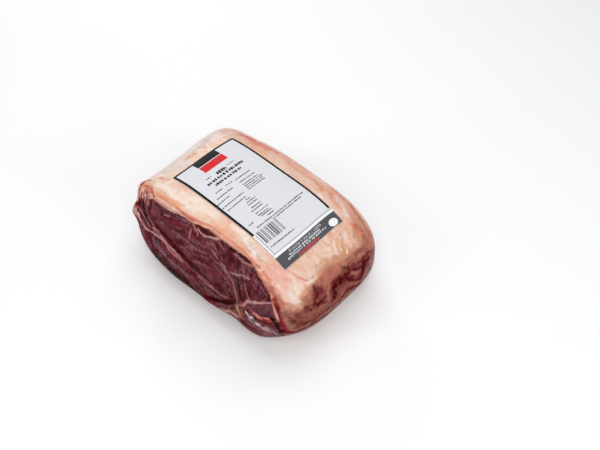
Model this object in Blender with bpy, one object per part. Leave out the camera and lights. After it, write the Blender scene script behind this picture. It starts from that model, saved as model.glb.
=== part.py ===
"""A vacuum-packed block of beef sirloin with its label.

Metres, +Z up. The origin lies on the table, under the middle of the pack's box. +X runs along the label
to the end where the fat cap folds down, and -Y points out of the cut lean face.
The block is worked out in millimetres about its own axis, and it is set over the origin last.
"""

from dataclasses import dataclass

import bmesh
import bpy
import numpy as np
from mathutils import Vector, noise
from mathutils.bvhtree import BVHTree

MM = 0.001

# The block, from its own axis: how far it reaches at its widest level, and that level's height.
NEAR_REACH = 120.0
FAR_REACH = 105.0
FRONT_REACH = 92.0
BACK_REACH = 77.0
HEIGHT = 104.5
WIDEST_LEVEL = 41.0
SETTLED_DEPTH = 3.5

# How boxy each corner is seen from above, and each side seen from its end. 2 is an ellipse.
NEAR_BACK_CORNER = 3.9
NEAR_FRONT_CORNER = 3.4
FAR_BACK_CORNER = 4.4
FAR_FRONT_CORNER = 3.5
NEAR_SHOULDER = 2.35
FAR_SHOULDER = 2.7
FRONT_SHOULDER = 3.5
BACK_SHOULDER = 2.5
UNDERSIDE = 2.75

# The top drops by this part of its height over each metre towards the near end and the back.
DROP_TO_NEAR_END = 0.54
DROP_TO_BACK = 0.12

# The cut lean face leans out towards the table and bows a little between its ends.
CUT_AT_TOP = -60.5
CUT_AT_TABLE = -85.5
CUT_BOW = 4.0
CUT_BOW_MIDDLE = 20.0
CUT_BOW_HALF_LENGTH = 110.0
CUT_EDGE_ROUNDING = 7.0

# Soft lumps in the meat: their size and how far they stand out.
LUMP_SIZE = 46.0
LUMP_HEIGHT = 1.3

# The mesh: cells along, across and up, and the share of faces that is kept where it is flat.
CELLS = (110, 60, 56)
KEPT_FACES = 0.15

# The label, laid on the top.
LABEL_LENGTH = 143.0
LABEL_WIDTH = 78.0
LABEL_MIDDLE = (14.5, -6.0)
LABEL_THICKNESS = 0.5
LABEL_GAP = 0.5
LABEL_CELLS = (24, 12)

LEAN_FACE = (0, 2)
NEAR_FACE = (1, 2)


@dataclass(frozen=True)
class Fold:
    """A fold of the film: a ridge if it stands out, a valley if its height is negative."""

    axes: tuple
    outward: tuple
    route: tuple
    height: float
    half_width: float


@dataclass(frozen=True)
class Knob:
    """A gathered lump or ear of film at one place."""

    middle: tuple
    radius: float
    push: tuple


FOLDS = (
    # The long rope of film along the lean face, and the valley over it.
    Fold(LEAN_FACE, (0, -1, 0), ((-96, 60), (-77, 53), (-50, 49), (-5, 46), (22, 43), (50, 42)), 2.4, 4.2),
    Fold(LEAN_FACE, (0, -1, 0), ((-84, 69), (-63, 62), (-38, 57), (-6, 50), (15, 48)), -2.4, 4.8),
    # The column where the film is gathered, with creases running off it.
    Fold(LEAN_FACE, (0, -1, 0), ((34, 78), (47, 71), (54, 57), (60, 36), (62, 22)), 2.4, 4.2),
    Fold(LEAN_FACE, (0, -1, 0), ((50, 76), (61, 81), (74, 84)), 1.2, 3.6),
    Fold(LEAN_FACE, (0, -1, 0), ((64, 54), (80, 61), (94, 68)), 1.4, 3.6),
    Fold(LEAN_FACE, (0, -1, 0), ((66, 50), (87, 48), (103, 40)), 1.8, 4.0),
    # The fold that tucks under in front.
    Fold(LEAN_FACE, (0, -1, 0), ((12, 24), (32, 29), (53, 38)), -3.0, 5.0),
    Fold(LEAN_FACE, (0, -1, 0), ((4, 15), (30, 20), (54, 27)), 1.4, 4.8),
    Fold(LEAN_FACE, (0, -1, 0), ((-60, 30), (-33, 23), (5, 19)), 1.0, 4.0),
    # The seam of loose film low round the near end.
    Fold(NEAR_FACE, (1, 0, 0), ((-72, 27), (-30, 24), (20, 24), (62, 29)), 0.9, 4.6),
)

KNOBS = (
    # The ear at the far corner, the hollow under the gathered column, and the full corner beside it.
    Knob((-91.0, -67.0, 53.0), 8.0, (-3.0, -3.6, -1.0)),
    Knob((50.0, -82.0, 16.0), 17.0, (0.0, 2.4, 1.6)),
    Knob((88.0, -76.0, 12.0), 18.0, (1.0, -2.2, -1.0)),
    # The dip in the far edge of the fat cap, the film that stands up at its corner, and the low back rim.
    Knob((-82.0, -24.0, 92.0), 24.0, (2.2, 0.0, -2.2)),
    Knob((-84.0, 46.0, 92.0), 13.0, (-1.0, 0.6, 1.2)),
    Knob((-52.0, 66.0, 84.0), 22.0, (0.0, -1.6, -1.8)),
)


def material(name, colour, roughness):
    """Return a plain Principled material."""
    made = bpy.data.materials.new(name)
    made.use_nodes = True
    shader = made.node_tree.nodes["Principled BSDF"]
    shader.inputs["Base Color"].default_value = (*colour, 1.0)
    shader.inputs["Roughness"].default_value = roughness
    made.diffuse_color = (*colour, 1.0)
    return made


def box_grid(cells):
    """Return a bmesh box from -1 to 1 whose sides are cut into the given cells."""
    bm = bmesh.new()
    bmesh.ops.create_cube(bm, size=2.0)
    for axis in range(3):
        along = []
        for edge in bm.edges:
            run = edge.verts[1].co - edge.verts[0].co
            if abs(run[axis]) > 0.9 * run.length:
                along.append(edge)
        bmesh.ops.subdivide_edges(bm, edges=along, cuts=cells[axis] - 1, use_grid_fill=True)
    return bm


def block_surface(directions):
    """Return the points in millimetres where directions from a unit box meet the rounded block."""
    x, y, z = directions.T
    near = x > 0.0
    back = y > 0.0
    corner = np.where(
        near,
        np.where(back, NEAR_BACK_CORNER, NEAR_FRONT_CORNER),
        np.where(back, FAR_BACK_CORNER, FAR_FRONT_CORNER),
    )
    part_x = np.abs(x) ** corner
    part_y = np.abs(y) ** corner
    spread = np.maximum(part_x + part_y, 1e-12)
    share_x = part_x / spread
    plan = spread ** (1.0 / corner)
    shoulder = share_x * np.where(near, NEAR_SHOULDER, FAR_SHOULDER)
    shoulder += (1.0 - share_x) * np.where(back, BACK_SHOULDER, FRONT_SHOULDER)
    shoulder = np.where(z > 0.0, shoulder, UNDERSIDE)
    scale = (plan**shoulder + np.abs(z) ** shoulder) ** (-1.0 / shoulder)

    block_x = x * scale * np.where(near, NEAR_REACH, FAR_REACH)
    block_y = y * scale * np.where(back, BACK_REACH, FRONT_REACH)
    rise = np.where(z > 0.0, HEIGHT - WIDEST_LEVEL, WIDEST_LEVEL + SETTLED_DEPTH)
    block_z = WIDEST_LEVEL + z * scale * rise
    block_z *= 1.0 - (DROP_TO_NEAR_END * block_x + DROP_TO_BACK * block_y) / 1000.0
    block_y = smooth_maximum(block_y, cut_plane(block_x, block_z), CUT_EDGE_ROUNDING)
    return np.stack([block_x, block_y, block_z], axis=1)


def cut_plane(x, z):
    """Return how far out the cut lean face lies at a place along it and up it."""
    lean = CUT_AT_TABLE + (CUT_AT_TOP - CUT_AT_TABLE) * np.clip(z, 0.0, None) / HEIGHT
    along = (x - CUT_BOW_MIDDLE) / CUT_BOW_HALF_LENGTH
    return lean - CUT_BOW * (1.0 - along * along)


def smooth_maximum(first, second, rounding):
    """Return the larger of two values, blended where they are closer than the rounding."""
    apart = first - second
    blend = (first + second) / 2.0 + (apart * apart + rounding * rounding) / (4.0 * rounding)
    return np.where(np.abs(apart) < rounding, blend, np.maximum(first, second))


def smooth_step(value):
    """Return a value eased from 0 to 1."""
    value = np.clip(value, 0.0, 1.0)
    return value * value * (3.0 - 2.0 * value)


def distance_to_route(places, route):
    """Return each place's distance from a route, and how far along the route it is, from 0 to 1."""
    points = np.array(route, dtype=float)
    lengths = np.linalg.norm(np.diff(points, axis=0), axis=1)
    starts = np.concatenate([[0.0], np.cumsum(lengths)[:-1]])
    nearest = np.full(len(places), np.inf)
    progress = np.zeros(len(places))
    for start, length, here, there in zip(starts, lengths, points[:-1], points[1:]):
        run = (there - here) / length
        along = np.clip((places - here) @ run, 0.0, length)
        away = np.linalg.norm(places - here - along[:, None] * run, axis=1)
        closer = away < nearest
        nearest = np.where(closer, away, nearest)
        progress = np.where(closer, (start + along) / lengths.sum(), progress)
    return nearest, progress


def relief(points, normals):
    """Return the points moved by the lumps, the folds and the knobs."""
    moved = points.copy()
    lumps = np.array([noise.noise(Vector(point) / LUMP_SIZE) for point in points])
    moved += normals * (LUMP_HEIGHT * lumps)[:, None]
    for fold in FOLDS:
        away, progress = distance_to_route(points[:, fold.axes], fold.route)
        profile = np.exp(-((away / fold.half_width) ** 2))
        ends = smooth_step(np.minimum(progress, 1.0 - progress) * 6.0)
        facing = smooth_step(normals @ np.array(fold.outward, dtype=float) * 2.0)
        moved += normals * (fold.height * profile * (0.25 + 0.75 * ends) * facing)[:, None]
    for knob in KNOBS:
        away = np.linalg.norm(points - np.array(knob.middle), axis=1)
        moved += np.exp(-((away / knob.radius) ** 2))[:, None] * np.array(knob.push)
    moved[:, 2] = np.maximum(moved[:, 2], 0.0)
    return moved


def set_over_origin(points):
    """Return the points moved so that the middle of their box's underside is the origin."""
    lowest = points.min(axis=0)
    highest = points.max(axis=0)
    middle = (lowest + highest) / 2.0
    middle[2] = lowest[2]
    return points - middle, middle


def make_pack():
    """Return the sealed pack as an object, and where the block's own axis was set."""
    bm = box_grid(CELLS)
    bm.verts.ensure_lookup_table()
    directions = np.array([vertex.co for vertex in bm.verts])
    points = block_surface(directions)
    for vertex, point in zip(bm.verts, points):
        vertex.co = point
    bm.normal_update()
    normals = np.array([vertex.normal for vertex in bm.verts])
    points, middle = set_over_origin(relief(points, normals))
    for vertex, point in zip(bm.verts, points):
        vertex.co = point * MM
    bmesh.ops.recalc_face_normals(bm, faces=bm.faces)
    mesh = bpy.data.meshes.new("sealed_pack")
    bm.to_mesh(mesh)
    bm.free()
    mesh.shade_smooth()
    pack = bpy.data.objects.new("sealed_pack", mesh)
    bpy.context.collection.objects.link(pack)
    pack.data.materials.append(material("meat_under_film", (0.36, 0.11, 0.09), 0.25))
    fewer = pack.modifiers.new("fewer_faces_where_flat", "DECIMATE")
    fewer.ratio = KEPT_FACES
    fewer.use_collapse_triangulate = True
    return pack, middle


def make_label(pack, middle):
    """Return the label as a thin sheet that follows the top of the pack."""
    graph = bpy.context.evaluated_depsgraph_get()
    top = BVHTree.FromObject(pack, graph)
    centre = (np.array([*LABEL_MIDDLE, 0.0]) - middle) * MM
    bm = bmesh.new()
    bmesh.ops.create_grid(bm, x_segments=LABEL_CELLS[0], y_segments=LABEL_CELLS[1], size=0.5)
    for vertex in bm.verts:
        place_x = centre[0] + vertex.co.x * LABEL_LENGTH * MM
        place_y = centre[1] + vertex.co.y * LABEL_WIDTH * MM
        above = Vector((place_x, place_y, 2.0 * HEIGHT * MM))
        hit = top.ray_cast(above, Vector((0.0, 0.0, -1.0)))[0]
        vertex.co = hit + Vector((0.0, 0.0, LABEL_GAP * MM))
    mesh = bpy.data.meshes.new("label")
    bm.to_mesh(mesh)
    bm.free()
    mesh.shade_smooth()
    label = bpy.data.objects.new("label", mesh)
    bpy.context.collection.objects.link(label)
    label.data.materials.append(material("coated_label_paper", (0.78, 0.79, 0.80), 0.4))
    sheet = label.modifiers.new("paper", "SOLIDIFY")
    sheet.thickness = LABEL_THICKNESS * MM
    sheet.offset = 1.0
    return label


def main():
    """Clear the scene and make the pack and its label."""
    for old in list(bpy.data.objects):
        bpy.data.objects.remove(old, do_unlink=True)
    pack, middle = make_pack()
    make_label(pack, middle)


main()
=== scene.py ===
"""The looks of a vacuum-packed block of beef sirloin: meat, fat cap, clear film and label.

Metres, +Z up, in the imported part's own frame. The block's form is worked out in millimetres about its own
axis, as its construction is, and set over the origin by the sealed pack's box.
"""

from __future__ import annotations

import logging
import math
from dataclasses import dataclass, field
from enum import Enum

import bmesh
import bpy
import numpy as np
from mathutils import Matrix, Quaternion, Vector, noise
from mathutils.bvhtree import BVHTree


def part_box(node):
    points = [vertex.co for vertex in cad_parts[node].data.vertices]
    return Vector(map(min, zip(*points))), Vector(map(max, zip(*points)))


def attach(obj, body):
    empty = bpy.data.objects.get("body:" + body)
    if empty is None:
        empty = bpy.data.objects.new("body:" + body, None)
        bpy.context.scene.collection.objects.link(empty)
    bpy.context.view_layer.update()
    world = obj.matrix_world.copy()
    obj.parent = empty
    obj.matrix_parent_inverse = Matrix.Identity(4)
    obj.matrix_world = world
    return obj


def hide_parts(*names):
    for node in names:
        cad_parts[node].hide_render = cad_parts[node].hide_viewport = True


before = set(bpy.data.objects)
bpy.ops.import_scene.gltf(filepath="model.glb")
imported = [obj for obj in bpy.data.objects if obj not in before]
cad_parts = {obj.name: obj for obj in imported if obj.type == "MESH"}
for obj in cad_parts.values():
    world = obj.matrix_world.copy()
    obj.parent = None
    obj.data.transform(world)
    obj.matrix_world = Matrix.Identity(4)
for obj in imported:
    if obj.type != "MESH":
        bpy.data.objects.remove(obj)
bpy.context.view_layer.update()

MM = 0.001
LOG = logging.getLogger("beef_sirloin")
Array = np.ndarray
Route = tuple[tuple[float, ...], ...]
Pixels = tuple[tuple[float, float], ...]
Sizes = tuple[float, float, float]
Grains = tuple[tuple[float, float, int], ...]

# The noise's hash, which gives each corner of a cell its own slope: the multipliers of the corner's place
# and of the seed, the rounds of shifting and multiplying, and the bits that are read as a slope.
PLACE_PRIMES = np.array([73856093, 19349663, 83492791])
SEED_PRIME = 2654435
MIXING_ROUNDS = ((13, 1274126177), (16, 1103515245))
KEPT_BITS = 0x7FFFFFFF
SLOPE_BITS = 1023
SLOPE_SHIFTS = (0, 10, 20)
# How far apart two seeds read the noise, in cells, and what brings it to about -1 to 1.
SEED_STEP = 19.37
NOISE_GAIN = 1.6
# How thin a ridge is drawn.
RIDGE_SHARPNESS = 3.2


# --------------------------------------------------------------------------------------------------
# Small tools
# --------------------------------------------------------------------------------------------------


def linear(code: str) -> tuple[float, float, float]:
    """Turn an sRGB hex colour into linear light.

    Args:
        code: The colour, such as "#F0DCCB".

    Returns:
        Red, green and blue from 0 to 1.
    """
    channels = (int(code[place : place + 2], 16) / 255.0 for place in (1, 3, 5))
    return tuple(c / 12.92 if c <= 0.04045 else ((c + 0.055) / 1.055) ** 2.4 for c in channels)


def smooth_step(value: Array) -> Array:
    """Ease values from 0 to 1."""
    value = np.clip(value, 0.0, 1.0)
    return value * value * (3.0 - 2.0 * value)


def grain(points: Array, size: float | Sizes, seed: int) -> Array:
    """Return smooth gradient noise at points.

    Args:
        points: The places, in millimetres, one a row.
        size: How large a grain is, in millimetres, or three sizes along X, Y and Z.
        seed: Which noise.

    Returns:
        About -1 to 1 for each point.
    """
    cell = points / size + seed * SEED_STEP
    base = np.floor(cell).astype(np.int64)
    part = cell - base
    ease = part * part * part * (part * (part * 6.0 - 15.0) + 10.0)
    total = np.zeros(len(points))
    for corner in range(8):
        step = np.array([corner & 1, corner >> 1 & 1, corner >> 2 & 1])
        key = (base + step) @ PLACE_PRIMES + seed * SEED_PRIME
        for shift, multiplier in MIXING_ROUNDS:
            key = (key ^ (key >> shift)) * multiplier & KEPT_BITS
        parts = [(key >> shift & SLOPE_BITS) / (SLOPE_BITS / 2.0) - 1.0 for shift in SLOPE_SHIFTS]
        slope = np.stack(parts, axis=1)
        weight = np.prod(np.where(step == 1, ease, 1.0 - ease), axis=1)
        total += weight * np.sum(slope * (part - step), axis=1)
    return total * NOISE_GAIN


def ridges(points: Array, size: float | Sizes, seed: int) -> Array:
    """Return noise from 0 to 1 that is high along thin winding lines."""
    return 1.0 - np.clip(np.abs(grain(points, size, seed)) * RIDGE_SHARPNESS, 0.0, 1.0)


def roughen(points: Array, grains: Grains) -> Array:
    """Return how far noises move an edge at points; each has its reach, the size of its grains and a seed."""
    return sum(reach * grain(points, size, seed) for reach, size, seed in grains)


# --------------------------------------------------------------------------------------------------
# The block's form, as its construction gives it
# --------------------------------------------------------------------------------------------------


class Axis(Enum):
    """An axis of the block, as the column of its points."""

    X = 0
    Y = 1
    Z = 2


class Face(Enum):
    """A side of the block: the two axes along it, and the way that it faces."""

    LEAN = ((0, 2), (0.0, -1.0, 0.0))
    NEAR = ((1, 2), (1.0, 0.0, 0.0))
    TOP = ((0, 1), (0.0, 0.0, 1.0))
    BACK = ((0, 2), (0.0, 1.0, 0.0))
    FAR = ((1, 2), (-1.0, 0.0, 0.0))
    ROUND = ((0, 1, 2), (0.0, 0.0, 0.0))


@dataclass
class Skin:
    """The points of a closed skin round the block, in millimetres, and the ways they face."""

    points: Array
    normals: Array

    def facing(self, face: Face, spread: float = 2.0) -> Array:
        """Return how far each point belongs to a face, from 0 to 1; all do where it goes all round."""
        if face is Face.ROUND:
            return np.ones(len(self.points))
        return smooth_step(self.normals @ np.array(face.value[1]) * spread)

    def beside(self, face: Face, route: Route | Array) -> tuple[Array, Array]:
        """Measure each point from a route drawn on a face.

        Args:
            face: The face that the route is drawn on.
            route: Places along the face's axes.

        Returns:
            Each point's distance from the route, and how far along the route it is, from 0 to 1.
        """
        places = self.points[:, face.value[0]]
        corners = np.array(route, dtype=float)
        lengths = np.linalg.norm(np.diff(corners, axis=0), axis=1)
        starts = np.concatenate([[0.0], np.cumsum(lengths)[:-1]])
        nearest = np.full(len(places), np.inf)
        progress = np.zeros(len(places))
        for start, length, here, there in zip(starts, lengths, corners[:-1], corners[1:]):
            run = (there - here) / length
            along = np.clip((places - here) @ run, 0.0, length)
            away = np.linalg.norm(places - here - along[:, None] * run, axis=1)
            closer = away < nearest
            nearest = np.where(closer, away, nearest)
            progress = np.where(closer, (start + along) / lengths.sum(), progress)
        return nearest, progress

    def over(self, route: Array) -> Array:
        """Measure how far each point lies over a route drawn round the skin, or under it, below zero.

        Args:
            route: Places on the skin, so that what is over it lies to the left, seen from outside.

        Returns:
            Each point's distance from the route, less than zero to its right.
        """
        nearest = np.full(len(self.points), np.inf)
        side = np.zeros(len(self.points))
        alike = 0.001
        for here, there in zip(route[:-1], route[1:]):
            length = np.linalg.norm(there - here)
            run = (there - here) / length
            apart = self.points - here
            apart -= np.clip(apart @ run, 0.0, length)[:, None] * run
            away = np.linalg.norm(apart, axis=1)
            across = np.sum(np.cross(self.normals, run) * apart, axis=1)
            # Where a turn of the route is nearest, the stretch that a point lies squarer to tells its side.
            squarer = (away < nearest + alike) & (np.abs(across) > np.abs(side))
            side = np.where((away < nearest - alike) | squarer, across, side)
            nearest = np.minimum(nearest, away)
        return np.sign(side) * nearest


@dataclass(frozen=True)
class Zone:
    """Part of the block past a place along one axis, in millimetres.

    Its edge fades over the blend, backwards if that is below zero, and may wander with noise.
    """

    axis: Axis
    start: float
    blend: float
    wander: float = 0.0
    grain_size: float = 10.0
    seed: int = 0

    def share(self, skin: Skin) -> Array:
        """Find how far each point lies in the zone.

        Args:
            skin: The points.

        Returns:
            Each one's share, from 0 to 1.
        """
        depth = skin.points[:, self.axis.value] - self.start
        if self.wander:
            depth += math.copysign(self.wander, self.blend) * grain(skin.points, self.grain_size, self.seed)
        return smooth_step(depth / self.blend)


@dataclass(frozen=True)
class Fold:
    """A fold of the film: a ridge if it stands out, a valley if its height is negative."""

    face: Face
    route: Route
    height: float
    half_width: float
    haze: float = 0.0
    end_height: float = 0.25
    end_share: float = 1.0 / 6.0

    def profile(self, skin: Skin) -> Array:
        """Find how much of the fold is at each point; it runs out towards its ends.

        Args:
            skin: The points.

        Returns:
            Each one's share, from 0 to 1.
        """
        away, progress = skin.beside(self.face, self.route)
        run_out = smooth_step(np.minimum(progress, 1.0 - progress) / self.end_share)
        along = self.end_height + (1.0 - self.end_height) * run_out
        return np.exp(-((away / self.half_width) ** 2)) * along * skin.facing(self.face)


@dataclass(frozen=True)
class Knob:
    """A gathered lump, an ear or a dip at one place."""

    middle: tuple[float, float, float]
    radius: float
    push: tuple[float, float, float]


@dataclass(frozen=True)
class BlockForm:
    """The rounded block, cut off flat at its lean face. Millimetres from the block's own axis."""

    near_reach: float = 120.0
    far_reach: float = 105.0
    front_reach: float = 92.0
    back_reach: float = 77.0
    height: float = 104.5
    widest_level: float = 41.0
    settled_depth: float = 3.5
    corners: tuple[tuple[float, float], tuple[float, float]] = ((3.5, 4.4), (3.4, 3.9))
    end_shoulders: tuple[float, float] = (2.7, 2.35)
    side_shoulders: tuple[float, float] = (3.5, 2.5)
    underside: float = 2.75
    drop_to_near_end: float = 0.54
    drop_to_back: float = 0.12
    cut_at_top: float = -60.5
    cut_at_table: float = -85.5
    cut_bow: float = 4.0
    cut_bow_middle: float = 20.0
    cut_bow_half_length: float = 110.0
    cut_edge_rounding: float = 7.0
    lump_size: float = 46.0
    lump_height: float = 1.3
    smallest: float = 1e-12

    knobs: tuple[Knob, ...] = (
        Knob((-91.0, -67.0, 53.0), 8.0, (-3.0, -3.6, -1.0)),
        Knob((50.0, -82.0, 16.0), 17.0, (0.0, 2.9, 2.0)),
        Knob((88.0, -76.0, 12.0), 18.0, (1.0, -3.0, -1.4)),
        Knob((-82.0, -24.0, 92.0), 24.0, (2.2, 0.0, -2.2)),
        Knob((-84.0, 46.0, 92.0), 13.0, (-1.0, 0.6, 1.2)),
        Knob((-52.0, 66.0, 84.0), 22.0, (0.0, -1.6, -1.8)),
        Knob((-90.0, -60.0, 84.0), 8.0, (-3.4, -1.2, 1.6)),
    )

    def surface(self, directions: Array) -> Array:
        """Push the points of a box from -1 to 1 onto the rounded block.

        Args:
            directions: The box's points, one a row.

        Returns:
            Points on the block, in millimetres.
        """
        x, y, z = directions.T
        near = x > 0.0
        back = y > 0.0
        corner = np.array(self.corners)[near.astype(int), back.astype(int)]
        part_x = np.abs(x) ** corner
        part_y = np.abs(y) ** corner
        spread = np.maximum(part_x + part_y, self.smallest)
        share_x = part_x / spread
        plan = spread ** (1.0 / corner)
        shoulder = share_x * np.array(self.end_shoulders)[near.astype(int)]
        shoulder += (1.0 - share_x) * np.array(self.side_shoulders)[back.astype(int)]
        shoulder = np.where(z > 0.0, shoulder, self.underside)
        scale = (plan**shoulder + np.abs(z) ** shoulder) ** (-1.0 / shoulder)

        block_x = x * scale * np.where(near, self.near_reach, self.far_reach)
        block_y = y * scale * np.where(back, self.back_reach, self.front_reach)
        rise = np.where(z > 0.0, self.height - self.widest_level, self.widest_level + self.settled_depth)
        block_z = self.widest_level + z * scale * rise
        # Both drops are shares of the height for each metre along.
        block_z *= 1.0 - (self.drop_to_near_end * block_x + self.drop_to_back * block_y) * MM
        lean_in = self.cut_at_top - self.cut_at_table
        cut = self.cut_at_table + lean_in * np.clip(block_z, 0.0, None) / self.height
        along = (block_x - self.cut_bow_middle) / self.cut_bow_half_length
        cut -= self.cut_bow * (1.0 - along * along)
        apart = block_y - cut
        rounding = self.cut_edge_rounding
        blend = (block_y + cut) / 2.0 + (apart * apart + rounding * rounding) / (4.0 * rounding)
        block_y = np.where(np.abs(apart) < rounding, blend, np.maximum(block_y, cut))
        return np.stack([block_x, block_y, block_z], axis=1)

    def settle(self, skin: Skin) -> Array:
        """Give the block its lumps and knobs, and lay it flat on the table.

        Args:
            skin: The plain block's skin.

        Returns:
            Its points, moved.
        """
        lumps = self.lump_height * noise_lumps(skin.points, self.lump_size)
        moved = skin.points + skin.normals * lumps[:, None]
        for knob in self.knobs:
            away = np.linalg.norm(skin.points - np.array(knob.middle), axis=1)
            moved += np.exp(-((away / knob.radius) ** 2))[:, None] * np.array(knob.push)
        moved[:, 2] = np.maximum(moved[:, 2], 0.0)
        return moved


def noise_lumps(points: Array, size: float) -> Array:
    """Return Blender's own noise at points, which the construction's lumps come from."""
    return np.array([noise.noise(Vector(point) / size) for point in points])


# --------------------------------------------------------------------------------------------------
# Materials
# --------------------------------------------------------------------------------------------------


class Tone(Enum):
    """The colours of the meat, its silverskin, the fat, the film and the print, as the eye sees them. Some
    stand for light: painted sheen, glints and haze of the film, painted highlights on the fat, and painted
    shade in creases and at edges.
    """

    # Ivory also serves as a painted highlight on the film over the fat.
    FAT_IVORY = "#F8E6D8"
    FAT_CREAM = "#EFCFBB"
    FAT_PEACH = "#EEC1A4"
    FAT_ORANGE = "#E8A380"
    FAT_CORAL = "#F09A72"
    FAT_SALMON = "#DB836A"
    FAT_RED = "#B8463B"
    # Pink also serves as painted highlights on the rope and on creases of the film.
    FAT_PINK = "#EAAF9F"
    FAT_ROSE = "#EFA79E"
    FAT_TAN = "#CF9878"
    FAT_BAND = "#C08878"
    TAN_GOLD = "#D69A6C"
    SKIN_TAN = "#B8705B"
    SKIN_RUST = "#8E3E34"
    SKIN_BROWN = "#8F5348"
    # Rose silverskin, which also serves as painted shade along the near end's right rim.
    SKIN_ROSE = "#B66D5D"
    SKIN_SAND = "#B58A70"
    SKIN_MAUVE = "#7E5A5E"
    MEAT_RED = "#AC4C4E"
    MEAT_ROSE = "#C4605C"
    LEAN_MAROON = "#622B35"
    LEAN_BRIGHT = "#86202C"
    LEAN_CRIMSON = "#741826"
    LEAN_ROSE = "#7E3640"
    LEAN_RUST = "#6A2429"
    LEAN_MAUVE = "#6E4450"
    # The deepest tones also serve as painted shade: in the film's creases and valleys, under the fat's edge
    # and along the edges that turn under.
    LEAN_DEEP = "#3D0A12"
    LEAN_BLOOD = "#4A0208"
    LEAN_BLACK = "#240206"
    BLOOD_CORE = "#42040C"
    BLOOD_DARK = "#5A0C15"
    BLOOD_ROSE = "#7C2630"
    BLOOD_RUST = "#66221E"
    # The film over the meat, painted into the meat's colour. Its greys, mauves and smoky pinks are the haze
    # of its sheen over the dark lean, a painted reflection; its rose, blush and tan are the film gathered in
    # folds.
    FILM_MAUVE = "#7E424A"
    FILM_GREY = "#603640"
    FILM_SMOKE = "#704B55"
    # Silvery mauve: painted sheen on the film over the lean.
    FILM_SILVER = "#84606A"
    FILM_DUSK = "#925F66"
    FILM_ROSE = "#A26A6C"
    FILM_BLUSH = "#BE727A"
    # Pale pink: painted highlights along the film's folds, creases and wrinkles.
    FILM_PINK = "#C48E8C"
    FILM_TAN = "#8E584C"
    # Glassy grey-pink: painted reflection on loose and lifted film.
    FILM_GLASS = "#A58A8F"
    # White of the film: painted glints, highlights and sheen on the meat, and the film's milky tint, with
    # painted sheen over the far shoulder.
    FILM_WHITE = "#EFE6E3"
    PAPER = "#E4E5E9"
    INK_BLACK = "#0A0A0C"
    INK_SOFT_BLACK = "#1E1F23"
    INK_GREY = "#77797E"
    INK_PALE_GREY = "#E4E6EB"
    INK_DARK_GREY = "#57595C"
    INK_RED = "#DD2630"
    INK_BRIGHT_RED = "#FF3C48"
    PAPER_WHITE = "#FBFBFB"


def add_node(
    tree: bpy.types.NodeTree,
    kind: str,
    settings: dict[str | int, object] | None = None,
    links: dict[str | int, bpy.types.NodeSocket] | None = None,
) -> bpy.types.Node:
    """Add a shader node with its settings and links.

    Args:
        tree: The material's node tree.
        kind: The node's type, such as "ShaderNodeTexNoise".
        settings: Values by an input's name or number, or by the name of one of the node's own settings.
        links: Sockets to link in, by an input's name or number.

    Returns:
        The node.
    """
    node = tree.nodes.new(kind)
    for name, value in (settings or {}).items():
        if isinstance(name, int) or name in node.inputs:
            node.inputs[name].default_value = value
        else:
            setattr(node, name, value)
    for name, socket in (links or {}).items():
        tree.links.new(socket, node.inputs[name])
    return node


def new_material(
    name: str, settings: dict[str, object]
) -> tuple[bpy.types.Material, bpy.types.NodeTree, bpy.types.Node]:
    """Make a material with one Principled shader.

    Args:
        name: What the material really is.
        settings: The shader's values by input name.

    Returns:
        The material, its node tree and its shader.
    """
    material = bpy.data.materials.new(name)
    material.use_nodes = True
    tree = material.node_tree
    shader = tree.nodes["Principled BSDF"]
    for socket, value in settings.items():
        shader.inputs[socket].default_value = value
    return material, tree, shader


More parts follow.
